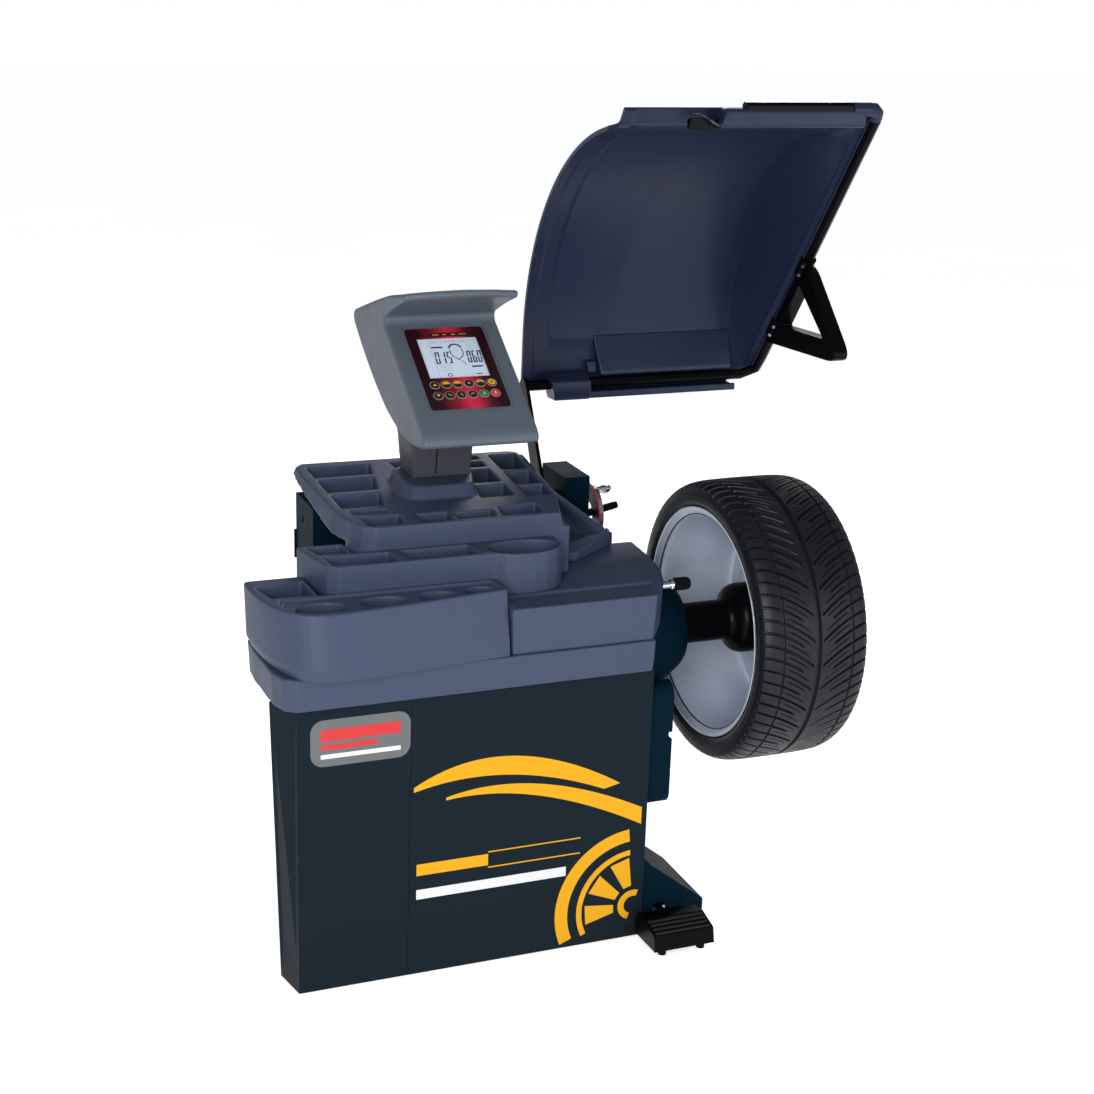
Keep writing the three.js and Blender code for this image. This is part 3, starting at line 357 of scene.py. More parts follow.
def swept_piece(name, path, section, material, body, side=(1, 0, 0), crease=35):
    """A section of (a, b) offsets carried along a path; a runs along side, b across it."""
    path = [Vector(point) for point in path]
    rows = []
    for i, point in enumerate(path):
        ahead = (path[min(i + 1, len(path) - 1)] - path[max(i - 1, 0)]).normalized()
        first = Vector(side)
        first = (first - ahead * first.dot(ahead)).normalized()
        second = ahead.cross(first)
        rows.append([tuple(point + first * a + second * b) for a, b in section])
    return make_piece(name, *ring_mesh(rows, "capped"), material, body, crease)


def smooth_step(value, low, high):
    share = min(max((value - low) / (high - low), 0.0), 1.0)
    return share * share * (3 - 2 * share)


def curve_between(start, control, end, count):
    steps = [i / count for i in range(count)]
    return [tuple((1 - t) ** 2 * a + 2 * t * (1 - t) * b + t * t * c
                  for a, b, c in zip(start, control, end)) for t in steps]


def cut_away(piece, outlines, low, high, place):
    """Cuts outlines through a piece and leaves the result in its mesh."""
    mesh = build_mesh("cutter", *prisms(outlines, low, high, place))
    cutter = add_object("cutter", mesh)
    cut = piece.modifiers.new("cut", "BOOLEAN")
    cut.object = cutter
    cut.operation = "DIFFERENCE"
    cut.solver = "EXACT"
    settle(piece)
    bpy.data.objects.remove(cutter)
    bpy.data.meshes.remove(mesh)


def settle(piece):
    """Keeps the result of a piece's modifiers as its mesh."""
    result = piece.evaluated_get(bpy.context.evaluated_depsgraph_get())
    settled = bpy.data.meshes.new_from_object(result)
    piece.modifiers.clear()
    piece.data = settled


MOULDING_KEPT = 0.22                    # share of the faces kept once the edges are soft


def soften_moulding(piece, voxel, smoothing):
    """Fillets every edge: an even remesh, smoothed, then thinned out again."""
    even = piece.modifiers.new("even_mesh", "REMESH")
    even.mode = "VOXEL"
    even.voxel_size = voxel
    even.use_smooth_shade = True
    soft = piece.modifiers.new("soft_edges", "SMOOTH")
    soft.factor = 0.5
    soft.iterations = smoothing
    thin = piece.modifiers.new("thin_out", "DECIMATE")
    thin.ratio = MOULDING_KEPT


# ---------- wheel ----------
PITCHES, COLUMNS = 72, 12               # repeats of the tread round the tyre and mesh columns in each
TREAD_HALF = 118
GROOVE_DEPTH = 6.0
V_SWEEP = 62                            # how far a groove runs round between middle and shoulder
SHOULDER_RING = 79                      # the thin groove round each shoulder, from the middle
STUD_HOLES, STUD_CIRCLE = 5, 56


def tread_radius(across):
    share = abs(across) / TREAD_HALF
    return TYRE_RADIUS - 2.2 * share ** 2 - 11.5 * share ** 9


def groove_depth(across, column):
    """Depth of the tread at a distance from the middle, for a column of the sheared pattern."""
    span = abs(across)
    centre = GROOVE_DEPTH * (1 - smooth_step(span, 3.0, 5.5))
    ring_cut = 3.6 * (1 - smooth_step(abs(span - SHOULDER_RING), 1.0, 2.6))
    pitch, place = divmod(column, COLUMNS)
    lateral = sipe = 0.0
    if place in (1, 2):
        inner = 34.0 if pitch % 2 else 9.0
        lateral = GROOVE_DEPTH * smooth_step(span, inner, inner + 5)
    if place == 7:
        sipe = 2.2 * smooth_step(span, 20, 26) * (1 - smooth_step(span, 66, 72))
    return max(centre, ring_cut, lateral, sipe)


def make_tyre():
    half = [0, 2.6, 4, 5.6, 9, 12, 15, 20, 26, 34, 40, 50, 60, 66, 72, 76, 77.6, 79, 80.4, 82, 90, 98, 105,
            110, 114, 117]
    across = [-v for v in half[:0:-1]] + half
    wall = [(119.2, 283), (120.6, 276), (121.2, 272), (121.9, 271.2), (122, 262), (121.6, 258.6),
            (120.6, 258), (119, 253), (116, 249), (113.6, 247.6), (111, 247.2), (109.4, 240), (109, 229.4)]
    inside = [(90, 229.4), (92, 242), (105, 258), (101, 274), (78, 288)]
    right = wall + inside
    left = [(-v, r) for v, r in right[::-1]]
    middle_x = RIM_X + RIM_WIDTH / 2
    total = PITCHES * COLUMNS
    rows = []
    for column in range(total):
        turn = TURN * column / total
        ring = []
        for v in across:
            sheared = turn + V_SWEEP * (1 - abs(v) / TREAD_HALF) ** 1.6 / TYRE_RADIUS
            ring.append((v, tread_radius(v) - groove_depth(v, column), sheared))
        ring += [(v, r, turn) for v, r in right + left]
        rows.append([(middle_x + v, SPINDLE_Y + r * cos(angle), SPINDLE_Z + r * sin(angle))
                     for v, r, angle in ring])
    tyre = make_piece("tyre_with_tread", *ring_mesh(rows), TYRE, "spindle", crease=28)
    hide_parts("tyre")


def make_rim():
    seat = FLANGE_FACE_X + 0.3 - RIM_X
    outside = [(0, 245.6), (1.4, 247), (4.4, 247), (6, 245), (7.6, 238), (9.4, 231), (12.5, 228.8),
               (223.5, 228.8), (226.6, 231), (228.4, 238), (230, 245), (231.6, 247), (234.6, 247),
               (236, 245.6), (236, 243.4), (234.6, 241), (229, 236), (222, 230), (214, 223), (208, 215),
               (204.5, 206), (202, 196), (197, 184), (171, 132), (160, 106), (155, 97), (147, 89),
               (142, 82), (141.3, 74), (141.3, 33.6)]
    inside = [(seat, 33.6), (seat, 88), (124, 92), (131, 98), (140, 104), (160, 138), (181, 178),
              (187, 190), (187, 199), (183, 206), (175, 210), (160, 212.4), (130, 214), (108, 215.4),
              (92, 217.4), (70, 220.6), (45, 223.8), (24, 226.6), (12, 229.4), (7, 232.6), (4, 237),
              (1.2, 241), (0, 243.4)]
    rim = spindle_piece("rim_with_barrel", outside + inside, RIM_X, ALLOY, sides=144)
    studs = round_outline(SPINDLE_Y, SPINDLE_Z, STUD_CIRCLE, STUD_HOLES)
    holes = [round_outline(y, z, 7.5) for y, z in studs]
    cut_away(rim, holes, FLANGE_FACE_X - 10, FLANGE_FACE_X + 36, along_x)
    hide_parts("wheel_rim")
    edge = [(0, 243.6), (0.4, 246.8), (2, 247.4), (3.6, 246.8), (4, 243.6), (2, 242.6)]
    for name, x in (("rim_edge_inner", RIM_X + 0.2), ("rim_edge_outer", RIM_X + RIM_WIDTH - 4.2)):
        spindle_piece(name, edge, x, POLISHED, sides=144)


def make_flange():
    profile = [(0, 20.4), (0, 41), (1.6, 43), (208, 43), (214, 43.6), (220, 46), (226, 52), (231, 60),
               (236, 67), (242, 71.6), (249, 74), (258, 75), (282, 75), (284.6, 74.2), (286, 72.6),
               (286, 20.4)]
    flange = spindle_piece("wheel_flange", profile, FLANGE_FACE_X - 286, BLACK, crease=50)
    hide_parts("spindle_flange")


def make_spindle_cover():
    profile = [(0, 131), (0, 134), (1, 135), (19, 135), (26, 133.6), (45, 126.6), (66, 118), (84, 107),
               (100, 96.5), (110, 89.5), (114.6, 85), (117, 78), (118, 70), (118, 66), (113, 66), (107, 84),
               (62, 113), (18, 131)]
    cover = spindle_piece("spindle_dome", profile, 741, TEAL, "cabinet", crease=40)
    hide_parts("spindle_cover")


def make_cone():
    profile = [(0, 20.4), (0, 28), (1, 30), (8, 33.6), (30, 50.6), (34, 53.4), (36, 54), (42.6, 54),
               (44, 52.6), (44, 20.4)]
    cone = spindle_piece("cone_turned", profile, FLANGE_FACE_X + 12, STEEL)
    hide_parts("centring_cone")


make_tyre()
make_rim()
make_flange()
make_spindle_cover()
make_cone()


# ---------- guard ----------
GUARD_SHEET = 4
SHELL_LOW, SHELL_HIGH = (706, 1036), (235, 1690)
PANEL_EDGE_X = 774                      # left edge of the shell's raised panel
PANEL_EDGE_S = 100                      # its lower edge, measured up the shell
PANEL_RISE = 3.2
PANEL_TOP_GAP = 62                      # from its upper edge to the shell's top
PANEL_CORNER = 22.0
LIP_WIDTH, LIP_RISE = 26, 5
TOP_NOTCH = 13                          # how far the shell's left edge steps in at its top
FOLD_START, FOLD_RISE, FOLD_HALF = 110, 1.6, 46
FOLDS = ((914, 0.16), (1186, -0.18))    # place across of each soft fold at its foot, and its lean
TUBE_FOOT, TUBE_HEAD = (680, 1040), (212, 1694)     # ends of the bent tube's straight run, in y and z


def guard_profile():
    sweep = radians(78)
    arc = [(GUARD_CENTRE[0] + GUARD_RADIUS * cos(sweep * i / 110),
            GUARD_CENTRE[1] + GUARD_RADIUS * sin(sweep * i / 110)) for i in range(111)]
    foot = [(712 - 3 * i / 8, 1028 + 52 * i / 8) for i in range(9)] + [(708.6, 1097), (708.2, 1114)]
    head = [(280, 1649.4), (268, 1652.6), (257, 1657), (252, 1662), (248, 1669), (243, 1677),
            (238, 1685), (234, 1690)]
    return foot + arc + head


def shell_rise(x, s, total):
    """How far the inner skin stands in from the plain shell."""
    lip = LIP_RISE * (1 - smooth_step(x, GUARD_X0 + LIP_WIDTH - 3, GUARD_X0 + LIP_WIDTH + 2))
    into_x, into_s = x - PANEL_EDGE_X, s - PANEL_EDGE_S
    if into_x < PANEL_CORNER and into_s < PANEL_CORNER:
        edge = PANEL_CORNER - hypot(PANEL_CORNER - into_x, PANEL_CORNER - into_s)
    else:
        edge = min(into_x, into_s)
    edge = min(edge, total - PANEL_TOP_GAP - s)
    panel = PANEL_RISE * smooth_step(edge, 0.0, 4.0)
    fade = (1 - smooth_step(s, 280, 520)) * smooth_step(s, FOLD_START, FOLD_START + 40)
    folds = sum(FOLD_RISE * max(0.0, 1 - abs(x - (foot + (s - FOLD_START) * lean)) / FOLD_HALF)
                for foot, lean in FOLDS)
    return lip + panel + folds * fade


def guard_columns():
    near_lip = [715, 720, 728, 735, 738, 740, 742, 744, 748, 756, 764, 770]
    near_edge = [773, 775, 777, 779, 781, 784, 790]
    plain = [800 + 14 * i for i in range(30)]
    return near_lip + near_edge + plain + [1216, 1224, 1230, 1234, 1236]


def make_guard_shell():
    profile = guard_profile()
    lengths = [0.0]
    for (y0, z0), (y1, z1) in zip(profile, profile[1:]):
        lengths.append(lengths[-1] + hypot(y1 - y0, z1 - z0))
    total = lengths[-1]
    low, high = Vector(SHELL_LOW), Vector(SHELL_HIGH)
    chord = high - low
    inner, outer = [], []
    for i, (y, z) in enumerate(profile):
        before, after = profile[max(i - 1, 0)], profile[min(i + 1, len(profile) - 1)]
        along = Vector((after[0] - before[0], after[1] - before[1])).normalized()
        inward = Vector((-along.y, along.x))
        if inward.dot(Vector((GUARD_CENTRE[0] - y, GUARD_CENTRE[1] - z))) < 0:
            inward.negate()
        share = min(max((Vector((y, z)) - low).dot(chord) / chord.length_squared, 0.001), 0.999)
        edge = low + chord * share
        notch = TOP_NOTCH * smooth_step(lengths[i], total - 66, total - 30)
        near_row, far_row = [], []
        for x in guard_columns():
            moved = x + notch * (GUARD_X1 - x) / (GUARD_X1 - GUARD_X0)
            rise = shell_rise(x, lengths[i], total) * (1 - smooth_step(x, 1200, GUARD_X1))
            near_row.append((moved, y + inward.x * rise, z + inward.y * rise))
            far_row.append((moved, y - inward.x * GUARD_SHEET, z - inward.y * GUARD_SHEET))
        for step in (0.04, 0.12, 0.3, 0.5, 0.7, 0.85, 0.95, 1.0):
            wall = (GUARD_X1 + (CHORD_X - GUARD_X1) * step, y + (edge.x - y) * step, z + (edge.y - z) * step)
            near_row.append(wall)
            spread = GUARD_SHEET * (1 - step)
            far_row.append((wall[0] + GUARD_SHEET * min(1, 3 * step), wall[1] - inward.x * spread,
                            wall[2] - inward.y * spread))
        inner.append(near_row)
        outer.append(far_row)
    rows = [near + far[::-1] for near, far in zip(inner, outer)]
    points, faces = ring_mesh(rows, "open")
    width = len(rows[0])
    for row, turned in ((0, False), (len(rows) - 1, True)):
        first, last = row * width, row * width + width - 1
        for k in range(width // 2 - 1):
            face = [first + k, first + k + 1, last - 1 - k, last - k]
            faces.append(face[::-1] if turned else face)
    shell = make_piece("guard_inner_shell", points, faces, GUARD, "guard", crease=50)
    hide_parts("guard_shell")


def guard_bar(name, section, x0, x1, slant=0, width=3):
    """A moulded box on the shell, its section in y and z, its left end leaning by slant."""
    heights = [z for _, z in section]
    low_z, high_z = min(heights), max(heights)
    left = [(x0 + slant * (high_z - z) / (high_z - low_z), y, z) for y, z in section]
    right = [(x1, y, z) for y, z in section]
    return round_edges(make_piece(name, *ring_mesh([left, right], "capped"), GUARD, "guard"), width, 3)


def make_guard_details():
    guard_bar("guard_lower_cover",
              [(710, 1146), (703, 1145), (676, 1070), (674, 1058), (684, 1052.5), (710, 1052.5)],
              886, 1232, 12)
    guard_bar("guard_lower_step", [(710, 1088), (694, 1086), (688, 1062), (710, 1060)], 868, 892, 4, 2)
    guard_bar("guard_lower_tray",
              [(713, 1033), (709, 1013), (668, 1006), (662, 1008), (662, 1022), (667, 1023.5), (672, 1018),
               (704, 1020)], 846, 1238, 0, 1.5)
    guard_bar("guard_corner_block",
              [(712, 1062), (690, 1066), (658, 1050), (654, 1024), (664, 1005), (712, 1003)], 764, 866, 16, 3)
    guard_bar("guard_upper_fold",
              [(234, 1692), (208, 1694), (200, 1690), (198, 1662), (203, 1654), (240, 1655), (260, 1657),
               (251, 1668)], 938, 1256, -16, 5)
    hook = [(868, 1681), (884, 1680), (900, 1673), (912, 1664), (922, 1660), (930, 1664), (940, 1672)]
    path = [(x, 214 + 8 * sin(i), z) for i, (x, z) in enumerate(hook)]
    swept_piece("guard_hook", path, bar(-9, 9, -2, 2), GUARD, "guard", side=(0, 1, 0))
    # The hollow behind the hook is a black block: painted shade.
    recess = prisms([rounded_outline(864, 934, 1650, 1672, 6)], 219, 232, facing_back)
    make_piece("guard_hook_recess_painted_shade", *recess, BLACK, "guard")


def on_tube(share):
    """A place on the middle line of the tube's straight run."""
    return (CHORD_X + 20, *(foot + (head - foot) * share for foot, head in zip(TUBE_FOOT, TUBE_HEAD)))


def make_edge_wrap():
    path = [on_tube(t) for t in (0.035, 0.2, 0.4, 0.6, 0.8, 0.975)]
    turns = [radians(120 + 10 * i) for i in range(7)]
    section = ([(15.6 * cos(t), 15.6 * sin(t)) for t in turns]
               + [(12.3 * cos(t), 12.3 * sin(t)) for t in turns[::-1]])
    swept_piece("guard_edge_wrap", path, section, GUARD, "guard", crease=50)
    top = [(x0, 212, 1690.6) for x0 in (1226, 1240, 1262)]
    top += [(1280, 213, 1689.6), (1289, 219, 1683), (1293, 228, 1672)]
    swept_piece("guard_corner_sleeve", top, round_outline(0, 0, 14.4, 24), GUARD, "guard",
                side=(0, 1, 0.2), crease=50)
    ahead = Vector((0, *(Vector(TUBE_HEAD) - Vector(TUBE_FOOT)))).normalized() * 24
    for name, t in (("guard_clamp_upper", 0.44), ("guard_clamp_lower", 0.20)):
        centre = Vector(on_tube(t))
        swept_piece(name, [centre - ahead, centre - ahead * 0.8, centre + ahead * 0.8, centre + ahead],
                    round_outline(0, 0, 17.4, 20), BLACK, "guard", crease=50)
        for side in (-1, 1):
            spot = centre + ahead * 0.55 * side
            swept_piece(f"{name}_screw_{'low' if side < 0 else 'high'}",
                        [(spot.x - 14, spot.y - 9, spot.z - 7), (spot.x - 18, spot.y - 12, spot.z - 9)],
                        round_outline(0, 0, 4, 12), STEEL, "guard", side=(0, 0.6, -0.8))


def make_edge_strip():
    """Closes the guard between the shell's open edge and the tube."""
    rows = []
    for i in range(13):
        t = 0.01 + 0.98 * i / 12
        edge = Vector(SHELL_LOW).lerp(Vector(SHELL_HIGH), t)
        tube = Vector(TUBE_FOOT).lerp(Vector(TUBE_HEAD), t)
        far = edge.lerp(tube, 0.7)
        rows.append([(CHORD_X - 2, edge.x, edge.y), (CHORD_X + 11, far.x, far.y),
                     (CHORD_X + 11, far.x + 3, far.y + 2), (CHORD_X - 2, edge.x + 3, edge.y + 2)])
    make_piece("guard_edge_strip", *ring_mesh(rows, "capped"), GUARD, "guard")


def rounded_triangle(corners, radius):
    outline = []
    for i, corner in enumerate(corners):
        corner = Vector(corner)
        before, after = Vector(corners[i - 1]), Vector(corners[(i + 1) % 3])
        start = corner + (before - corner).normalized() * radius
        end = corner + (after - corner).normalized() * radius
        outline += [*curve_between(start, corner, end, 8), tuple(end)]
    return outline


def make_bracket():
    near, far = CHORD_X + 8, CHORD_X + 41.5
    outer = rounded_triangle(((482, 1352), (274, 1144), (656, 1128)), 62)
    inner = rounded_triangle(((478, 1284), (356, 1186), (552, 1178)), 10)
    loops = ((outer, near), (outer, far), (inner, far), (inner, near))
    rows = [[(x, y, z) for y, z in outline] for outline, x in loops]
    bracket = make_piece("guard_bracket_deep", *ring_mesh(rows), BLACK, "guard", crease=40)
    round_edges(bracket, 2.5, 3)
    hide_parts("guard_bracket")
    bolt = [(0, 0.2), (0, 6.4), (2.4, 6.4), (3.2, 5), (3.4, 0.2)]
    for i, (y, z) in enumerate(((480, 1308), (320, 1168), (604, 1158), (552, 1240), (402, 1244))):
        turned_piece(f"bracket_bolt_{i + 1}", bolt, CHORD_X + 40.4, y, z, CHROME, "guard", sides=12,
                     capped=True)


make_guard_shell()
make_guard_details()
make_edge_wrap()
make_edge_strip()
make_bracket()


# ---------- display head ----------
HEAD_PROFILE = [                        # curves of the side view: start, control, end, steps
    ((312, 0), (330, 4), (324, 18), 5), ((324, 18), (288, 78), (244, 138), 10),
    ((244, 138), (237, 152), (252, 152), 5), ((252, 152), (312, 90), (377, 14), 14),
    ((377, 14), (440, -62), (490, -124), 8), ((490, -124), (502, -146), (470, -152), 6),
    ((470, -152), (330, -160), (210, -138), 12), ((210, -138), (90, -108), (28, -54), 10),
    ((28, -54), (0, -30), (-7, -20), 6), ((-7, -20), (-11, -9), (2, -3), 6), ((2, -3), (10, 0), (22, 0), 4),
]
HEAD_VOXEL, HEAD_SMOOTHING = 0.003, 9   # metres, and rounds of smoothing
VISOR_CROWN = 15                        # how far the visor's front edge falls back at its ends


def make_head():
    outline = [(26 * i, 0) for i in range(1, 12)]
    for start, control, end, count in HEAD_PROFILE:
        outline += curve_between(start, control, end, count)
    rows = []
    for i in range(17):
        x = HEAD_WIDTH * (i / 16 - 0.5)
        fall = VISOR_CROWN * (2 * x / HEAD_WIDTH) ** 2
        rows.append([on_face(x, u + fall * 0.6 * smooth_step(v, 60, 130),
                             v - fall * smooth_step(v, 60, 130)) for u, v in outline])
    head = make_piece("display_head", *ring_mesh(rows, "capped"), HEAD, crease=45)
    soften_moulding(head, HEAD_VOXEL, HEAD_SMOOTHING)
    settle(head)
    half, low, high = WINDOW
    cut_away(head, [rounded_outline(-half - 6, half + 6, low - 7, high + 6, 11)], -1.6, 12, on_face)
    cut_away(head, [rounded_outline(-half, half, low, high, 8)], -13, 12, on_face)
    head.data.set_sharp_from_angle(angle=radians(45))
    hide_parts("display_housing")


def face_piece(name, outlines, low, high, material, body="cabinet"):
    return make_piece(name, *prisms(outlines, low, high, on_face), material, body)


SEGMENTS = {"0": "abcdef", "1": "bc", "5": "acdfg", "6": "acdefg"}
DIGIT_SLANT = 0.08


def digit_outlines(digit, x, y, width, height, weight=3.0):
    """Bars of a seven-segment figure with its lower left corner at x, y."""
    half = height / 2
    gap = 0.4
    upright = [(0, gap), (weight, gap + weight / 2), (weight, half - gap - weight / 3), (0, half - gap)]
    flat = [(gap + 1, 0), (width - gap - 1, 0), (width - gap - weight, weight), (gap + weight, weight)]
    shapes = {
        "f": [(x + a, y + half + b) for a, b in upright], "e": [(x + a, y + half - b) for a, b in upright],
        "b": [(x + width - a, y + half + b) for a, b in upright],
        "c": [(x + width - a, y + half - b) for a, b in upright],
        "d": [(x + a, y + b) for a, b in flat], "a": [(x + a, y + height - b) for a, b in flat],
        "g": [(x + a, y + half - weight / 2 + b) for a, b in flat],
    }
    return [[(a + (b - y) * DIGIT_SLANT, b) for a, b in shapes[name]] for name in SEGMENTS[digit]]


def stroke(points, weight):
    """Thin quads along a line of points."""
    quads = []
    for (x0, y0), (x1, y1) in zip(points, points[1:]):
        length = hypot(x1 - x0, y1 - y0)
        nx, ny = -(y1 - y0) / length * weight / 2, (x1 - x0) / length * weight / 2
        quads.append([(x0 - nx, y0 - ny), (x1 - nx, y1 - ny), (x1 + nx, y1 + ny), (x0 + nx, y0 + ny)])
    return quads


def arc_places(x, y, half_width, half_height, degrees):
    return [(x + half_width * cos(radians(a)), y + half_height * sin(radians(a)))
            for a in degrees]


def make_screen_marks():
    marks = []
    for digits, x, step, width in (("015", -38, 12.6, 9.4), ("060", 30, 11, 8.8)):
        for i, digit in enumerate(digits):
            marks += digit_outlines(digit, x + step * i, 203, width, 33)
    marks += [bar(-38, -14, 247, 251), bar(34, 57, 190, 194), bar(38, 50, 170.6, 173)]
    marks += stroke(arc_places(12, 241, 14, 15, range(20, 161, 14)), 4.0)
    marks += stroke([(25, 243), (26, 230), (22, 221), (16, 217), (12, 212), (8, 218), (3, 221), (-1, 230),
                     (0, 243)], 1.8)
    marks += stroke([(16, 211), (21, 204), (24, 197)], 1.2)
    marks += stroke(arc_places(-18, 172, 4.4, 4.4, range(0, 361, 30)), 1.6)
    face_piece("screen_figures", marks, -4.28, -4.12, SCREEN_INK)
    faint = stroke([(-40, 270), (-40, 164)], 0.7)
    faint += stroke([(-36, 262), (-36, 267), (58, 267), (58, 262), (-36, 262)], 0.7)
    faint += [bar(x, x + 3, 263.4, 265.6) for x in (-30, -4, 12, 30)]
    for x0, x1, heights in ((-34, -8, (198, 193, 188, 183)), (34, 58, (240, 245, 250, 255))):
        for y in heights:
            faint += stroke([(x0, y), (x1, y)], 0.7)
    face_piece("screen_guides", faint, -4.28, -4.16, SCREEN_FAINT)
    face_piece("display_caption_strip", [rounded_outline(-36, 50, 274.6, 286, 1)], -0.6, -0.2, KEY_DARK)
    captions = [bar(x, x + width, 279.4, 281.4) for x, width in ((-28, 14), (-6, 8), (12, 9), (29, 15))]
    face_piece("display_caption_marks", captions, -0.3, -0.05, PRINT_YELLOW)


KEY_PITCH = 24
KEY_ROWS = (142, 113)


def key_place(index):
    row, column = divmod(index, 6)
    return (column - 2.5) * KEY_PITCH, KEY_ROWS[row]


def half_oval(x, y):
    return arc_places(x, y, 7.8, 7.2, range(0, 181, 15))


def key_marks(x, y):
    """Generic marks: for each key a list of outlines round its middle."""
    return (
        [[(x - 4, y - 3), (x + 4, y - 3), (x, y + 3.6)]],
        [half_oval(x, y)],
        [half_oval(x, y)],
        [bar(x - 2.6, x + 2.6, y - 1.4, y + 1.4)],
        [half_oval(x, y + 0.2)],
        [oval_outline(x, y, 7.8, 7.4)],
        [[(x - 4, y + 3), (x, y - 3.6), (x + 4, y + 3)]],
        stroke([(x - 3.4, y + 2), (x + 1, y), (x + 3, y - 2.6)], 1.6),
        stroke([(x - 1, y + 3), (x, y - 1), (x + 3, y - 3)], 1.6),
        stroke([(x - 4, y - 2), (x, y + 2.4), (x + 3, y - 0.4)], 1.6),
        [bar(x - 0.8, x + 0.8, y - 0.6, y + 3.2), bar(x - 2.8, x + 2.8, y - 3, y - 1.8)],
        [bar(x - 1, x + 1, y - 0.4, y + 3.2), bar(x - 2.4, x + 2.4, y - 3, y - 1.8)],
    )


def make_keys():
    for index in range(12):
        x, y = key_place(index)
        name = f"key_{index + 1:02d}"
        ink = PRINT_WHITE if index > 9 else PRINT_YELLOW
        face_piece(f"{name}_mark", key_marks(x, y)[index], 1.0, 1.3, ink, name)
        if index == 4:
            diamond = [(x - 4, y), (x, y - 3.6), (x + 4, y), (x, y + 3.6)]
            face_piece(f"{name}_diamond", [diamond], 1.3, 1.5, KEY_DARK, name)
        if index == 5:
            figure = [bar(x - 4, x + 4, y - 1, y + 0.6), bar(x - 1, x + 3, y + 1.4, y + 2.8)]
            face_piece(f"{name}_figure", figure, 1.3, 1.5, KEY_DARK, name)


def make_key_rings():
    for index in range(12):
        outer, inner = (round_outline(*key_place(index), radius, 32) for radius in (10.8, 9.2))
        rows = [[on_face(a, b, c) for a, b in line]
                for line, c in ((outer, -0.6), (outer, -0.1), (inner, 0.1), (inner, -0.6))]
        make_piece(f"key_ring_{index + 1:02d}", *ring_mesh(rows), KEY_RING)


def make_neck_seam():
    line = [(399 + 3 * t, 380.7 - 12.6 * t, 936 + 130 * t) for t in (0, 0.25, 0.5, 0.75, 1)]
    swept_piece("neck_seam", line, [(-1.4, -0.5), (1.4, -0.5), (1.0, 0.6), (-1.0, 0.6)], SEAM, "cabinet")


make_head()
make_screen_marks()
make_keys()
make_key_rings()
make_neck_seam()


# ---------- cabinet details ----------
def panel_piece(name, outlines, low, high, material):
    return make_piece(name, *prisms(outlines, low, high, on_panel), material)


def band(upper, lower, count=28):
    """A closed outline between two smooth curves, each through three (x, z) places."""
    top, bottom = (curve_between(*line, count) + [line[2]] for line in (upper, lower))
    return top + bottom[::-1]


def arc_band(x, z, inner, outer, start, end, steps=24):
    turns = [radians(start + (end - start) * i / steps) for i in range(steps + 1)]
    return ([(x + outer * cos(t), z + outer * sin(t)) for t in turns]
            + [(x + inner * cos(t), z + inner * sin(t)) for t in turns[::-1]])


def wheel_spoke(x, z, turn, inner, outer, inner_half, outer_half):
    along = (cos(turn), sin(turn))
    side = (-along[1], along[0])
    corners = ((inner, -inner_half), (outer, -outer_half), (outer, outer_half), (inner, inner_half))
    return [(x + along[0] * r + side[0] * h, z + along[1] * r + side[1] * h) for r, h in corners]


def make_panel_decals():
    panel_piece("panel_badge", [rounded_outline(26, 225, 484, 580, 26, 8)], -0.3, 0.3, PRINT_GREY)
    bars = [rounded_outline(46, 205, 536, 560, 3), bar(46, 160, 518, 529)]
    panel_piece("panel_badge_bars", bars, 0.2, 0.5, PRINT_RED)
    panel_piece("panel_badge_line", [bar(46, 205, 500, 509)], 0.2, 0.5, PRINT_WHITE)
    sweeps = [band([(233, 414), (420, 522), (676, 362)], [(233, 404), (420, 452), (640, 354)]),
              band([(300, 384), (480, 430), (728, 300)], [(300, 378), (480, 400), (728, 262)])]
    panel_piece("panel_sweeps", sweeps, -0.3, 0.3, PRINT_YELLOW)
    panel_piece("panel_bar_yellow", [bar(240, 391, 222, 247)], -0.3, 0.3, PRINT_YELLOW)
    lines = [bar(391, 592, 250, 252.6), bar(391, 592, 216, 218.6)]
    panel_piece("panel_lines", lines, -0.3, 0.3, PRINT_YELLOW)
    panel_piece("panel_bar_white", [bar(240, 562, 170, 191)], -0.3, 0.3, PRINT_WHITE)
    hub = (717, 78)
    wheel = [arc_band(*hub, 148, 176, 95, 202), arc_band(*hub, 116, 128, 95, 205)]
    wheel += [wheel_spoke(*hub, radians(a), 44, 108, 9, 22) for a in (108, 146, 184)]
    wheel += [arc_band(*hub, 20, 34, 70, 250)]
    clipped = [[(min(x, 731), max(z, 7)) for x, z in line] for line in wheel]
    panel_piece("panel_wheel_print", clipped, -0.3, 0.3, PRINT_YELLOW)
    panel_piece("panel_seam", [[(226, 600), (228, 600), (223.5, 6), (221.5, 6)]], -0.4, 0.12, SEAM)
    plug = round_outline(714, 18, 10.5)
    round_edges(panel_piece("panel_plug", [plug], -0.4, 1.6, BLACK_PLASTIC), 0.8)


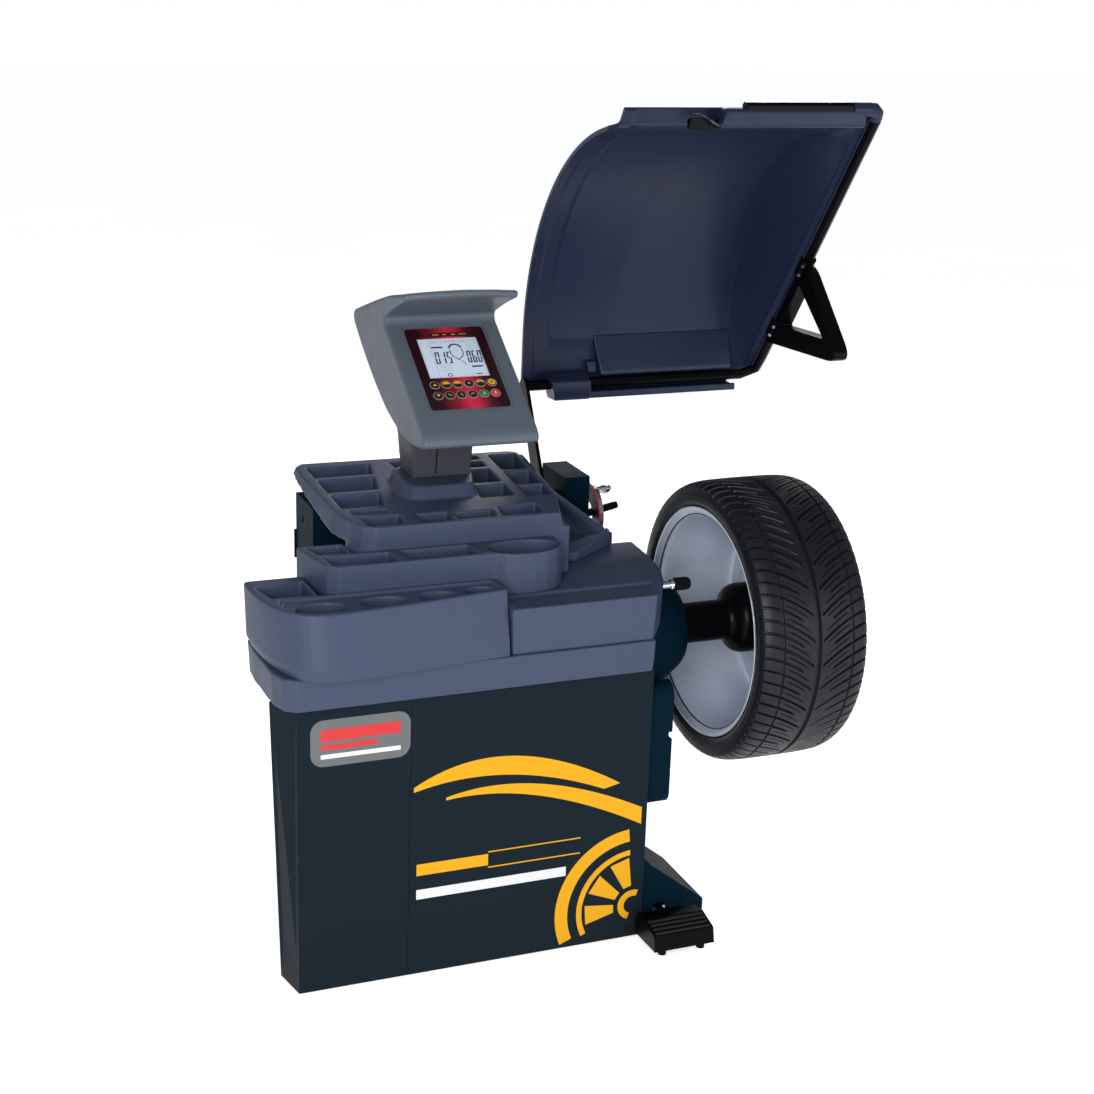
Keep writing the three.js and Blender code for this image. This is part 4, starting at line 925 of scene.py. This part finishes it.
def make_rear_details():
    slots = [rounded_outline(380 + 26 * i, 390 + 26 * i, 660, 740, 4.8) for i in range(9)]
    make_piece("rear_vents", *prisms(slots, REAR_Y - 0.4, REAR_Y + 0.3, facing_back), SEAM)
    places = ((170, 620), (652, 620), (170, 843), (652, 843), (130, 40), (724, 40), (130, 300),
              (724, 300), (130, 590), (724, 590))
    for i, (x, z) in enumerate(places):
        rows = [[(a, REAR_Y + out, b) for a, b in round_outline(x, z, radius, 16)]
                for radius, out in ((6, -0.4), (6, 1.2), (4.6, 2.4), (1.6, 2.7), (1.5, 1.4))]
        make_piece(f"rear_screw_{i + 1:02d}", *ring_mesh(rows, "capped"), STEEL)
    screw = [(0, 0.2), (0, 6), (1.4, 5.6), (2.6, 3.4), (2.8, 0.2)]
    for i, (y, z) in enumerate(((50, 316), (294, 316), (50, 526), (294, 526))):
        turned_piece(f"side_cover_screw_{i + 1}", screw, 799.6, y, z, STEEL, "cabinet", sides=18, capped=True)


def make_gauge_knob():
    ribs, sides = 22, 132
    rows = []
    for station, radius, rib in ((0, 9, 0), (0.4, 12, 0), (2, 13, 0.3), (4, 12.6, 0.9), (28, 12.6, 0.9),
                                 (31, 12.6, 0.2), (34, 11, 0), (36, 7.5, 0)):
        rows.append([(812.3 + station, GAUGE_Y + (radius + rib * cos(ribs * a)) * cos(a),
                      GAUGE_Z + (radius + rib * cos(ribs * a)) * sin(a))
                     for a in (TURN * i / sides for i in range(sides))])
    knob = make_piece("gauge_knob_ribbed", *ring_mesh(rows, "capped"), BLACK_PLASTIC, "gauge_arm", crease=60)
    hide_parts("gauge_knob")
    collar = [(0, 8.1), (0, 10.5), (1, 11), (7, 11), (8, 10.5), (8, 8.1)]
    turned_piece("gauge_scale_collar", collar, 803.6, GAUGE_Y, GAUGE_Z, CHROME, "gauge_arm", sides=32)


def make_storage():
    sides, ribs, pitch = 40, 11, 7
    start = Vector((808, ADAPTOR_Y, ADAPTOR_Z - 6))
    tilt = -0.2
    ahead = Vector((cos(tilt), 0, -sin(tilt)))
    across = Vector((0, 1, 0))
    up = ahead.cross(across)
    profile = [(0, 8.0)]
    for x in range(8, 8 + pitch * ribs, pitch):
        profile += [(x, 9.0), (x + 4, 9.0), (x + 4.6, 8.2), (x + 6.4, 8.2)]
    profile += [(88, 8.6), (91, 7)]
    rows = []
    for station, radius in profile:
        centre = start + ahead * station
        rows.append([tuple(centre + across * radius * cos(TURN * i / sides)
                           + up * radius * sin(TURN * i / sides)) for i in range(sides)])
    make_piece("peg_ribbed_grip", *ring_mesh(rows, "capped"), BLACK_PLASTIC)
    turned_piece("adaptor_red_edge", [(0, 68.6), (0, 70.6), (3, 70.6), (3, 68.6)], 824.4, ADAPTOR_Y,
                 ADAPTOR_Z, PRINT_RED, "cabinet", sides=72)
    stud = [(0, 6.6), (2, 8.6), (5, 9), (24, 8.8), (27, 10.4), (33, 10.9), (39, 10.2), (44, 7.6),
            (47.4, 4), (48, 1)]
    for i, dz in enumerate((-51, 51)):
        turned_piece(f"adaptor_stud_{i + 1}", stud, 835, ADAPTOR_Y, ADAPTOR_Z + dz, CHROME, "cabinet",
                     sides=32, capped=True)


def make_pedal_ribs():
    for i, (y, z) in enumerate(((-106, 62.6), (-94, 65.9), (-82, 68.9), (-70, 71.4))):
        section = [(y - 2.6, z - 2), (y + 2.6, z - 1), (y + 2, z + 1.6), (y - 2, z + 0.8)]
        make_piece(f"pedal_rib_{i + 1}", *prisms([section], 722, 846, along_x), RUBBER, "brake_pedal")


make_panel_decals()
make_rear_details()
make_gauge_knob()
make_storage()
make_pedal_ribs()


# ---------- finishes of the CAD nodes that are shown ----------
MOULDINGS = {"tray_skirt": TRAY, "front_tray": TRAY, "deck_cover": TRAY, "middle_tray": TRAY,
             "upper_tray": TRAY, "display_neck": NECK_SHADED}
MOULDING_VOXEL, MOULDING_SMOOTHING = 0.0024, 9

CAD_LOOKS = {name: (material, rounding) for material, rounding, names in (
    (TEAL, 1.5, "column rear_housing"), (TEAL, 2, "outrigger"), (TEAL, 5, "side_cover"),
    (TEAL, 3, "hinge_box"), (CABINET, 1.0, "front_panel"),
    (RUBBER, 0.8, "foot_front_left foot_front_right foot_rear_left foot_rear_right"),
    (RUBBER, 0.5, "drive_belt"), (BLACK, 1, "spindle_housing quick_nut guard_arm storage_peg"),
    (BLACK, 1.5, "drive_motor"), (BLACK, 2, "brake_pedal"), (BLACK, 0.5, "guard_tube"),
    (STEEL, 0.5, "bearing_rear bearing_front"), (STEEL, 0.6, "gauge_rod"), (STEEL, 0.8, "guard_shaft"),
    (STEEL, 1, "spindle_shaft adaptor_flange"), (ALLOY, 0.5, "drive_pulley motor_pulley"),
    (ALLOY, 1, "gauge_carriage"), (BOARD, 0.4, "control_board"), (BOARD, 0.3, "display_board"),
    (BLACK_PLASTIC, 0.8, "power_inlet"), (KEY_RED, 0.8, "main_switch"),
    (MEMBRANE, 0.3, "keypad_panel"), (SCREEN, 0.3, "lcd_screen"),
) for name in names.split()}
KEY_LOOKS = {11: KEY_GREEN, 12: KEY_RED}


def soften(node, width):
    """Flat faces merged, then sharp edges rounded."""
    flat = node.modifiers.new("merge_flats", "DECIMATE")
    flat.decimate_type = "DISSOLVE"
    flat.angle_limit = radians(1.5)
    round_edges(node, width, 3, 32)


def give_finish(node, material):
    node.data.materials.clear()
    node.data.materials.append(material)
    node.data.shade_smooth()


def dress_cad_nodes():
    for name, material in MOULDINGS.items():
        give_finish(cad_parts[name], material)
        soften_moulding(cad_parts[name], MOULDING_VOXEL, MOULDING_SMOOTHING)
    looks = dict(CAD_LOOKS)
    for number in range(1, 13):
        looks[f"key_{number:02d}"] = (KEY_LOOKS.get(number, KEY_DARK), 0.8)
    for name, (material, rounding) in looks.items():
        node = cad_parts[name]
        give_finish(node, material)
        node.data.set_sharp_from_angle(angle=radians(32))
        soften(node, rounding)


dress_cad_nodes()


# ---------- camera, light and floor ----------
def add_camera():
    turn, pitch, roll = (radians(CAMERA[key]) for key in ("azimuth", "pitch", "roll"))
    up = Vector((0, 0, 1))
    ahead = Vector((sin(turn), cos(turn), 0))
    right = Vector((cos(turn), -sin(turn), 0))
    view = ahead * cos(pitch) - up * sin(pitch)
    down = -ahead * sin(pitch) - up * cos(pitch)
    across = right * cos(roll) + down * sin(roll)
    below = -right * sin(roll) + down * cos(roll)
    data = bpy.data.cameras.new("camera")
    data.lens = CAMERA["lens"]
    data.sensor_width = CAMERA["sensor"]
    camera = add_object("camera", data)
    axes = Matrix((across, -below, -view)).transposed().to_4x4()
    camera.matrix_world = Matrix.Translation(at(*CAMERA["place"])) @ axes
    bpy.context.scene.camera = camera


def add_area_light(name, place, target, size, power, colour=(1, 1, 1)):
    data = bpy.data.lights.new(name, "AREA")
    data.shape = "DISK"
    data.size = size
    data.energy = power
    data.color = colour
    lamp = add_object(name, data)
    lamp.location = place
    lamp.rotation_mode = "QUATERNION"
    lamp.rotation_quaternion = (Vector(target) - Vector(place)).to_track_quat("-Z", "Y")


def add_world():
    """A soft even surround, dimmer in reflections, which the camera sees as plain white."""
    world = bpy.data.worlds.new("studio")
    world.use_nodes = True
    tree = world.node_tree
    ray = tree.nodes.new("ShaderNodeLightPath")
    cool, white = (0.93, 0.95, 1.0, 1), (1, 1, 1, 1)
    shader = set_inputs(tree, tree.nodes["Background"], {"Color": cool, "Strength": 0.6})
    for test, colour, strength in (("Is Glossy Ray", cool, 0.3), ("Is Camera Ray", white, 1.0)):
        other = add_node(tree, "ShaderNodeBackground", {"Color": colour, "Strength": strength})
        shader = add_node(tree, "ShaderNodeMixShader", {
            0: ray.outputs[test], 1: shader.outputs[0], 2: other.outputs[0]})
    tree.links.new(shader.outputs[0], tree.nodes["World Output"].inputs["Surface"])
    bpy.context.scene.world = world


def add_studio():
    """World, lamps and floor, placed in the frame's metres."""
    add_world()
    middle = (0, 0, 0.9)
    add_area_light("key", (-2.4, -4.3, 2.2), middle, 2.4, 260)
    add_area_light("fill", (2.8, -3.8, 1.4), middle, 2.2, 55)
    add_area_light("back", (1.8, 3.0, 3.0), middle, 1.6, 70)
    bpy.ops.mesh.primitive_plane_add(size=60, location=(0, 0, -0.0005))
    floor = bpy.context.object
    floor.name = "floor"
    floor.data.materials.append(floor_material())


def floor_material():
    material, tree, shader, place = start_material("floor", (0.9, 0.9, 0.9), 0.8, gloss=0.0)
    tone = add_noise(tree, place, 0.7, 2.0)
    set_inputs(tree, shader, {
        "Emission Color": (1, 1, 1, 1), "Emission Strength": 0.47,
        "Base Color": mix_colour(tree, tone, (0.88, 0.88, 0.88), (0.93, 0.93, 0.93))})
    return material


add_camera()
add_studio()

bpy.context.scene.view_settings.view_transform = "Standard"
